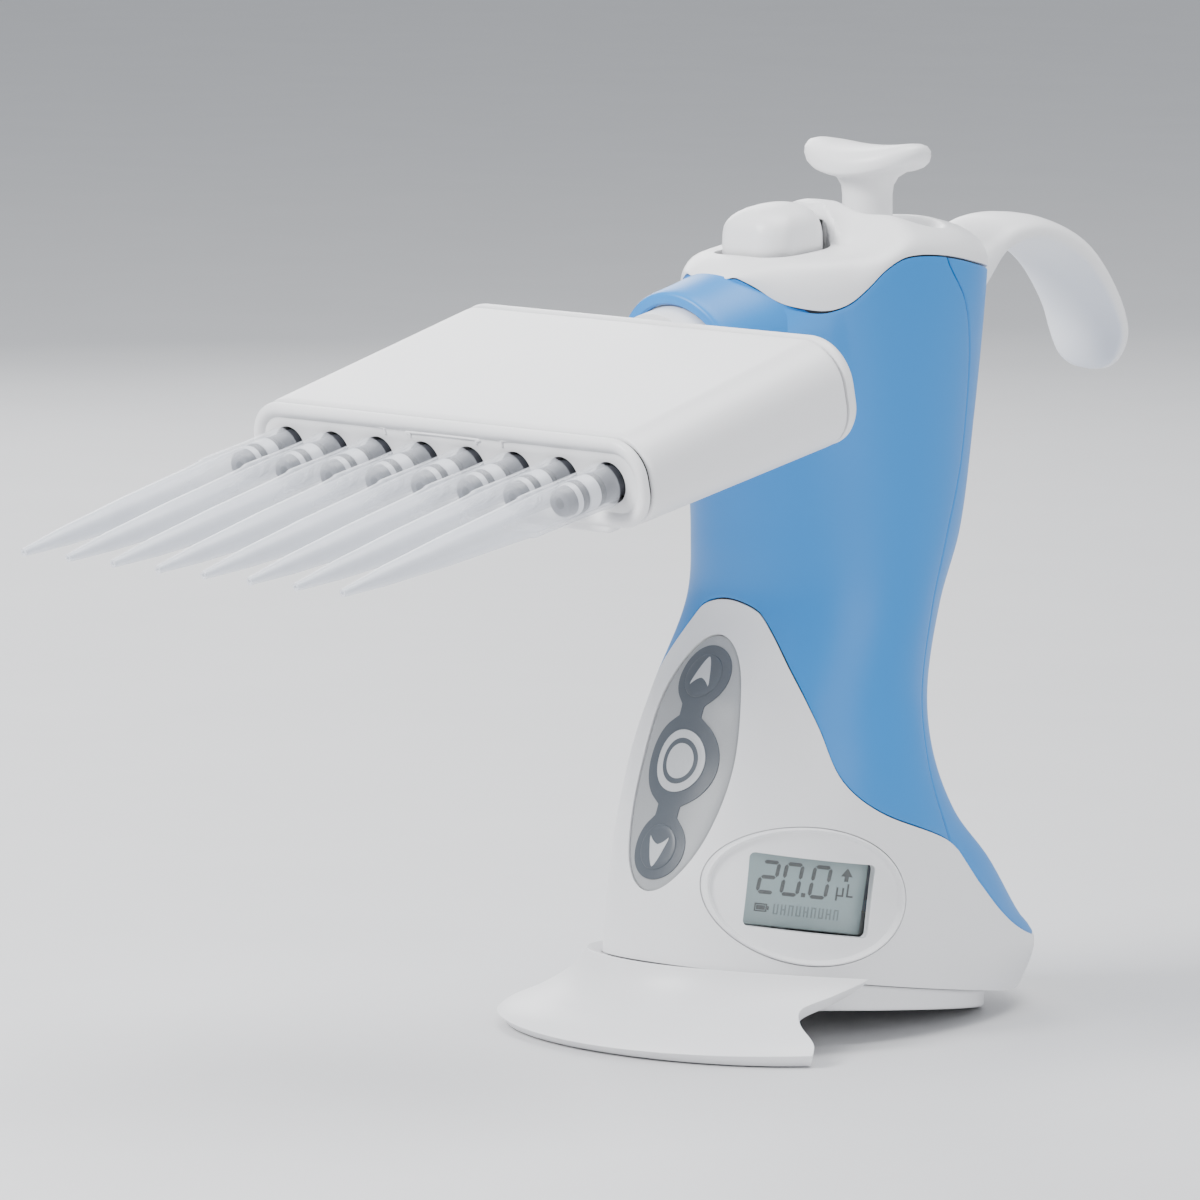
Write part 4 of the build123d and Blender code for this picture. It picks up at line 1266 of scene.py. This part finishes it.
class PIPETTE_OT_display(bpy.types.Operator):
    """Build the display's oval bezel, window and figures."""

    bl_idname = "pipette.display"
    bl_label = "Display"

    def execute(self, context):
        profile = [(0.9 * i / 8, -0.35) for i in range(9)]
        profile += [(0.915, -0.3), (0.935, 0.05), (0.95, 0.38), (0.965, 0.5), (0.98, 0.42),
                    (0.99, 0.15), (0.995, -0.2), (0.995, -1.2)]
        profile += [(0.9 * (8 - i) / 8, -1.2) for i in range(9)]
        form = disc_on_body("bezel", DISPLAY, (0, 0), (DISPLAY_OVAL[0] - 0.05,
                                                       DISPLAY_OVAL[1] - 0.05), profile, 128)
        hole = rounded_prism("hole", on_display, rounded(*WINDOW, 0.8), -6.0, 8.0)
        bezel_mesh = cut("display_bezel_form", form, [hole], [bevel(0.22, 60.0)])
        finished("display_bezel_skin", bezel_mesh, "white", "root", "white_casing",
                 "display_bezel")
        height = context.scene.pipette_panel.digit_height / MM
        shapes = []
        for mark, u in (("2", -7.0), ("0", -3.4), ("0", 0.9)):
            shapes += figure(mark, u, -0.4, height * 0.56, height, 0.55)
        shapes.append(box_shape(-0.3, -0.6, 0.6, 0.6))
        shapes.append([Vector(p) for p in ((5.3, 2.9), (7.1, 2.9), (6.2, 4.1))])
        shapes.append(box_shape(5.9, 2.2, 0.6, 0.7))
        shapes += [box_shape(*corner_and_size) for corner_and_size in UNIT_BARS + BATTERY_BARS]
        marks = prisms("lcd_figures_form", DISPLAY, shapes, 2.63, 2.69)
        finished("lcd_figures", marks, "digit", "root", "lcd_glass")
        faint = []
        for i in range(9):
            u = -4.2 + i * 1.15
            faint.append(box_shape(u, -3.4, 0.2, 1.5))
            faint.append(box_shape(u + 0.55, -3.4, 0.2, 1.5))
            faint.append(box_shape(u + 0.2, -3.4 + 0.65 * (i % 3), 0.35, 0.2))
        row = prisms("lcd_faint_form", DISPLAY, faint, 2.64, 2.69)
        finished("lcd_faint_row", row, "shadow_digit", "root", "lcd_glass")
        return {"FINISHED"}


class PIPETTE_OT_head(bpy.types.Operator):
    """Build the head's shell, rear cover and stripper plate."""

    bl_idname = "pipette.head"
    bl_label = "Head"

    def section(self, along, inset):
        """Outline of the head at a distance along the neck axis."""
        share = (along - SHELL_REAR) / SHELL_LENGTH
        height, corner = (rear + share * (front - rear)
                          for rear, front in (HEAD_HEIGHTS, HEAD_CORNERS))
        lift = HEAD_LIFT * (1 - share)
        return [on_head(x, y, along) for x, y in rounded(
            HEAD_WIDTH - 2 * inset, height - 2 * inset, max(corner - inset, 0.2), lift)]

    def execute(self, context):
        outer = [(14.75, 0.55), (14.78, 0.3), (14.9, 0.12), (15.15, 0.02), (15.5, 0.0)]
        outer += [(15.5 + 37.0 * i / 12, 0.0) for i in range(1, 13)]
        outer += [(52.9, 0.04), (53.2, 0.16), (53.35, 0.34), (53.4, 0.6), (53.35, 1.0),
                  (53.1, 1.3), (52.6, 1.4), (40.0, 1.4), (15.5, 1.4), (14.75, 1.3),
                  (14.75, 0.55)]
        shell = capped(grid_mesh("manifold_shell_form",
                                 [self.section(d, i) for d, i in outer], True))
        smooth_by_angle(shell, 45.0)
        finished("manifold_shell_skin", shell, "white", "head", "white_casing",
                 "manifold_shell")
        rear = [(12.0, 2.6), (12.1, 1.7), (12.35, 0.9), (12.75, 0.35), (13.2, 0.08), (13.6, 0.0),
                (14.2, 0.04), (14.35, 0.15), (14.4, 0.5)]
        cover = capped(grid_mesh("rear_cover_form",
                                 [self.section(d, i) for d, i in rear], True))
        smooth_by_angle(cover, 45.0)
        finished("rear_cover_skin", cover, "white", "head", "white_casing",
                 "manifold_rear_cover")
        # Dark ring behind the gap between the shell and the plate: painted shade that makes the
        # gap read as a dark line.
        lip_shade_ring = capped(grid_mesh("front_lip_shade_form", [self.section(d, i) for d, i in (
            (52.9, 0.8), (53.7, 0.8), (53.7, 1.25), (52.9, 1.25), (52.9, 0.8))], True))
        smooth_by_angle(lip_shade_ring, 45.0)
        finished("front_lip_shade", lip_shade_ring, "frame", "head", "seal_rubber")
        front = [(52.2, 2.2), (52.2, 1.7), (53.6, 1.7), (53.9, 1.2), (53.95, 0.6), (54.05, 0.3),
                 (54.3, 0.1), (54.6, 0.04), (55.0, 0.1), (55.3, 0.34), (55.45, 0.7),
                 (55.45, 1.1), (55.3, 1.5), (55.05, 1.85), (54.8, 2.1), (54.8, 2.4)]
        plate = capped(grid_mesh("plate", [self.section(d, i) for d, i in front], True))
        lip = rounded_prism("lip", on_head,
                            rounded(62.0, 3.6, 1.7, -5.6), 52.6, 55.0)
        lip = baked("lip", lip, [bevel(0.6, 40.0)])
        holes = []
        head = context.scene.pipette_head
        for i in range(head.channels):
            x = (i - (head.channels - 1) / 2) * head.pitch / MM
            ring = [(x + TIP_HOLE * math.cos(TAU * k / 48), TIP_HOLE * math.sin(TAU * k / 48))
                    for k in range(48)]
            holes.append(rounded_prism("hole", on_head, ring, 50, 60))
        mesh = cut("stripper_plate_form", plate, holes, [bevel(0.15, 60.0, 2)])
        mesh = joined("stripper_plate_form", [mesh, lip] + self.arches())
        smooth_by_angle(mesh, 45.0)
        finished("stripper_plate_skin", mesh, "white", "stripper", "white_casing",
                 "stripper_plate")
        return {"FINISHED"}

    def arches(self):
        """Two nested raised lines on the plate's face."""
        made = []
        for half, high in ((11.5, 4.6), (6.5, 4.15)):
            path = [(-half, 3.48), (-half, high - 0.3), (-half + 0.3, high), (half - 0.3, high),
                    (half, high - 0.3), (half, 3.48)]
            rows = []
            for i in range(41):
                p = spline_at([(x, y, 0) for x, y in path], i / 40)
                q = spline_at([(x, y, 0) for x, y in path], min(1.0, i / 40 + 0.01))
                o = spline_at([(x, y, 0) for x, y in path], max(0.0, i / 40 - 0.01))
                run = (q - o).normalized()
                side = Vector((-run.y, run.x, 0))
                rows.append([on_head(*(p.xy + side.xy * 0.22 * math.cos(TAU * k / 12)),
                                     54.85 + 0.22 * math.sin(TAU * k / 12)) for k in range(12)])
            made.append(capped(grid_mesh("arch", rows, True)))
        return made


def turned_unit(name, profile, sides=48):
    """One channel's piece, turned about the neck axis, from radius and distance."""
    rows = [[on_head(r * math.cos(TAU * i / sides), r * math.sin(TAU * i / sides), d)
             for i in range(sides)] for r, d in profile + profile[:1]]
    return capped(grid_mesh(name, rows, True))


def channel_row(name, unit, finish, body, slot, *replaced):
    """A unit repeated once per channel by geometry nodes, then baked."""
    head = bpy.context.scene.pipette_head
    tree = bpy.data.node_groups.new(name + "_row", "GeometryNodeTree")
    made = {}
    for label, kind in (("Geometry", "NodeSocketGeometry"), ("Channels", "NodeSocketInt"),
                        ("Pitch", "NodeSocketFloat"), ("Finish", "NodeSocketMaterial")):
        made[label] = tree.interface.new_socket(label, in_out="INPUT", socket_type=kind)
    tree.interface.new_socket("Geometry", in_out="OUTPUT", socket_type="NodeSocketGeometry")

    def node(kind, links, **settings):
        fresh = tree.nodes.new(kind)
        for key, value in settings.items():
            setattr(fresh, key, value)
        for key, value in links.items():
            if isinstance(value, bpy.types.NodeSocket):
                tree.links.new(value, fresh.inputs[key])
            else:
                fresh.inputs[key].default_value = value
        return fresh

    given = node("NodeGroupInput", {}).outputs
    last = node("ShaderNodeMath", {0: given["Channels"], 1: 1.0}, operation="SUBTRACT")
    half = node("ShaderNodeMath", {0: last.outputs[0], 1: -0.5}, operation="MULTIPLY")
    start = node("ShaderNodeMath", {0: half.outputs[0], 1: given["Pitch"]}, operation="MULTIPLY")
    first = node("ShaderNodeCombineXYZ", {"X": start.outputs[0]})
    step = node("ShaderNodeCombineXYZ", {"X": given["Pitch"]})
    line = node("GeometryNodeMeshLine", {"Count": given["Channels"],
                                         "Start Location": first.outputs[0],
                                         "Offset": step.outputs[0]}, mode="OFFSET")
    copies = node("GeometryNodeInstanceOnPoints", {"Points": line.outputs[0],
                                                   "Instance": given["Geometry"]})
    real = node("GeometryNodeRealizeInstances", {"Geometry": copies.outputs[0]})
    finish_node = node("GeometryNodeSetMaterial", {"Geometry": real.outputs[0],
                                                   "Material": given["Finish"]})
    node("NodeGroupOutput", {0: finish_node.outputs[0]})
    helper = bpy.data.objects.new(name, unit)
    bpy.context.scene.collection.objects.link(helper)
    modifier = helper.modifiers.new("row", "NODES")
    modifier.node_group = tree
    modifier[made["Channels"].identifier] = head.channels
    modifier[made["Pitch"].identifier] = head.pitch
    modifier[made["Finish"].identifier] = MATERIALS[finish]
    bpy.context.view_layer.update()
    graph = bpy.context.evaluated_depsgraph_get()
    mesh = bpy.data.meshes.new_from_object(helper.evaluated_get(graph))
    bpy.data.objects.remove(helper)
    mesh.name = name + "_form"
    smooth_by_angle(mesh, 35.0)
    return finished(name, mesh, finish, body, slot, *replaced)


class PIPETTE_OT_channels(bpy.types.Operator):
    """Build the rows of nozzles, bands, seals and tips."""

    bl_idname = "pipette.channels"
    bl_label = "Nozzles and tips"

    def execute(self, context):
        nozzle = [(1.6, 48.0), (2.2, 48.0), (2.35, 48.3), (2.35, 57.9), (1.95, 57.95),
                  (1.95, 58.7), (2.3, 58.75), (2.3, 61.15), (1.85, 61.2), (1.85, 62.0),
                  (2.2, 62.05), (2.05, 64.3), (1.8, 64.6), (0.8, 64.6),
                  (0.8, 56.4), (1.6, 56.4)]
        channel_row("nozzle_cones", turned_unit("nozzle_unit", nozzle), "nozzle", "head",
                    "nozzle_grey", "nozzles")
        bands = [[(2.3, 58.85), (2.44, 58.95), (2.44, 60.9), (2.3, 61.0)],
                 [(2.15, 62.15), (2.3, 62.25), (2.28, 63.0), (2.15, 63.1)]]
        for number, band in enumerate(bands):
            channel_row(f"nozzle_bands_{number}", turned_unit("band_unit", band), "band", "head",
                        "seal_rubber")
        seals = [[(1.95, 58.0), (2.25, 57.98), (2.42, 58.2), (2.42, 58.5), (2.25, 58.68),
                  (1.95, 58.68)],
                 [(1.85, 61.25), (2.2, 61.22), (2.4, 61.4), (2.4, 61.8), (2.2, 61.98),
                  (1.85, 61.95)]]
        channel_row("nozzle_seal_rear", turned_unit("seal_unit", seals[0]), "rubber", "head",
                    "seal_rubber", "nozzle_seals")
        channel_row("nozzle_seal_front", turned_unit("seal_unit", seals[1]), "rubber", "head",
                    "seal_rubber")
        tip = [(2.8, 56.1), (3.1, 56.1), (3.25, 56.25), (3.25, 56.8), (3.1, 57.2), (3.05, 63.0),
               (3.04, 70.5), (2.98, 70.8), (2.78, 71.2), (2.6, 75.0), (2.1, 86.5), (1.7, 92.5),
               (1.35, 98.1), (0.95, 102.0), (0.55, 105.8), (0.25, 105.8), (0.5, 102.0),
               (0.95, 98.1), (1.3, 92.5), (1.68, 86.5), (2.2, 75.0), (2.36, 71.2), (2.5, 68.0),
               (2.62, 60.0)]
        channel_row("tip_row", turned_unit("tip_unit", tip), "tip", "tips", "tip_plastic",
                    "pipette_tips")
        return {"FINISHED"}


class PIPETTE_OT_stage(bpy.types.Operator):
    """Set up the floor, the lights and the camera."""

    bl_idname = "pipette.stage"
    bl_label = "Stage"

    def execute(self, context):
        scene = context.scene
        rows = [[Vector((x * 2.0, y * 2.0, -0.00005)) for x in range(-16, 17)]
                for y in range(-16, 17)]
        floor_mesh = grid_mesh("floor_form", rows, False)
        floor_mesh.materials.append(MATERIALS["floor"])
        floor = bpy.data.objects.new("floor", floor_mesh)
        scene.collection.objects.link(floor)
        world = bpy.data.worlds.new("studio")
        scene.world = world
        world.use_nodes = True
        world.node_tree.nodes["Background"].inputs["Color"].default_value = (0.9, 0.94, 1, 1)
        world.node_tree.nodes["Background"].inputs["Strength"].default_value = 0.62
        centre = Vector((0, 0, 0.06))
        lamps = [("key_light", (-0.25, -0.85, 0.75), 0.4, 19.0),
                 ("fill_light", (0.9, -0.1, 0.35), 0.6, 3.0),
                 ("top_light", (0.1, 0.25, 1.0), 0.6, 9.0),
                 ("rim_light", (-0.7, 0.45, 0.4), 0.4, 3.0)]
        for name, place, size, power in lamps:
            light = bpy.data.lights.new(name, "AREA")
            light.size = size
            light.energy = power
            lamp = bpy.data.objects.new(name, light)
            scene.collection.objects.link(lamp)
            lamp.location = place
            lamp.rotation_euler = (centre - Vector(place)).to_track_quat("-Z", "Y").to_euler()
        self.camera(scene)
        return {"FINISHED"}

    def camera(self, scene):
        """Long lens from the front right, a little above the bench."""
        target = at(0.0, -54.0, 63.9)
        azimuth, elevation, width = math.radians(45.0), math.radians(7.2), 0.1676
        data = bpy.data.cameras.new("camera")
        data.lens = 300.0
        data.sensor_width = 36.0
        distance = width * data.lens / data.sensor_width
        away = Vector((math.sin(azimuth) * math.cos(elevation),
                       -math.cos(azimuth) * math.cos(elevation), math.sin(elevation)))
        camera = bpy.data.objects.new("camera", data)
        scene.collection.objects.link(camera)
        camera.location = target + away * distance
        camera.rotation_euler = (-away).to_track_quat("-Z", "Y").to_euler()
        scene.camera = camera


class PIPETTE_OT_finishes(bpy.types.Operator):
    """Give every CAD node that shows or could show its finish."""

    bl_idname = "pipette.finishes"
    bl_label = "Finishes"

    def execute(self, context):
        missing = set(NODE_FINISH) - set(frame["nodes"])
        if missing:
            raise RuntimeError(f"the frame lacks {sorted(missing)}")
        make_materials(context.scene)
        for name, node in frame["nodes"].items():
            finish = MATERIALS[NODE_FINISH.get(name, "white")]
            node.data.materials.clear()
            node.data.materials.append(finish)
        return {"FINISHED"}


class PIPETTE_PT_panel(bpy.types.Panel):
    """Lists the steps and settings."""

    bl_idname = "PIPETTE_PT_panel"
    bl_label = "Pipette"
    bl_space_type = "VIEW_3D"
    bl_region_type = "UI"
    bl_category = "Pipette"

    def draw(self, context):
        for group in (context.scene.pipette_casing, context.scene.pipette_panel,
                      context.scene.pipette_head):
            for key in group.__annotations__:
                self.layout.prop(group, key)
        for step in STEPS:
            self.layout.operator(step.bl_idname)


SETTINGS = {"pipette_casing": CasingSettings, "pipette_panel": PanelSettings,
            "pipette_head": HeadSettings}
STEPS = (PIPETTE_OT_finishes, PIPETTE_OT_handle, PIPETTE_OT_base, PIPETTE_OT_cap,
         PIPETTE_OT_controls, PIPETTE_OT_hook, PIPETTE_OT_foot, PIPETTE_OT_keypad,
         PIPETTE_OT_display, PIPETTE_OT_head, PIPETTE_OT_channels, PIPETTE_OT_stage)


def register():
    """Make the settings, steps and panel known to Blender."""
    for group in SETTINGS.values():
        bpy.utils.register_class(group)
    for step in STEPS:
        bpy.utils.register_class(step)
    bpy.utils.register_class(PIPETTE_PT_panel)
    for name, group in SETTINGS.items():
        setattr(bpy.types.Scene, name, PointerProperty(type=group))


def unregister():
    """Take them away again."""
    for name in SETTINGS:
        delattr(bpy.types.Scene, name)
    bpy.utils.unregister_class(PIPETTE_PT_panel)
    for step in reversed(STEPS):
        bpy.utils.unregister_class(step)
    for group in SETTINGS.values():
        bpy.utils.unregister_class(group)


def main():
    """Build everything."""
    register()
    for step in STEPS:
        section, name = step.bl_idname.split(".")
        getattr(getattr(bpy.ops, section), name)()


if __name__ == "__main__":
    main()
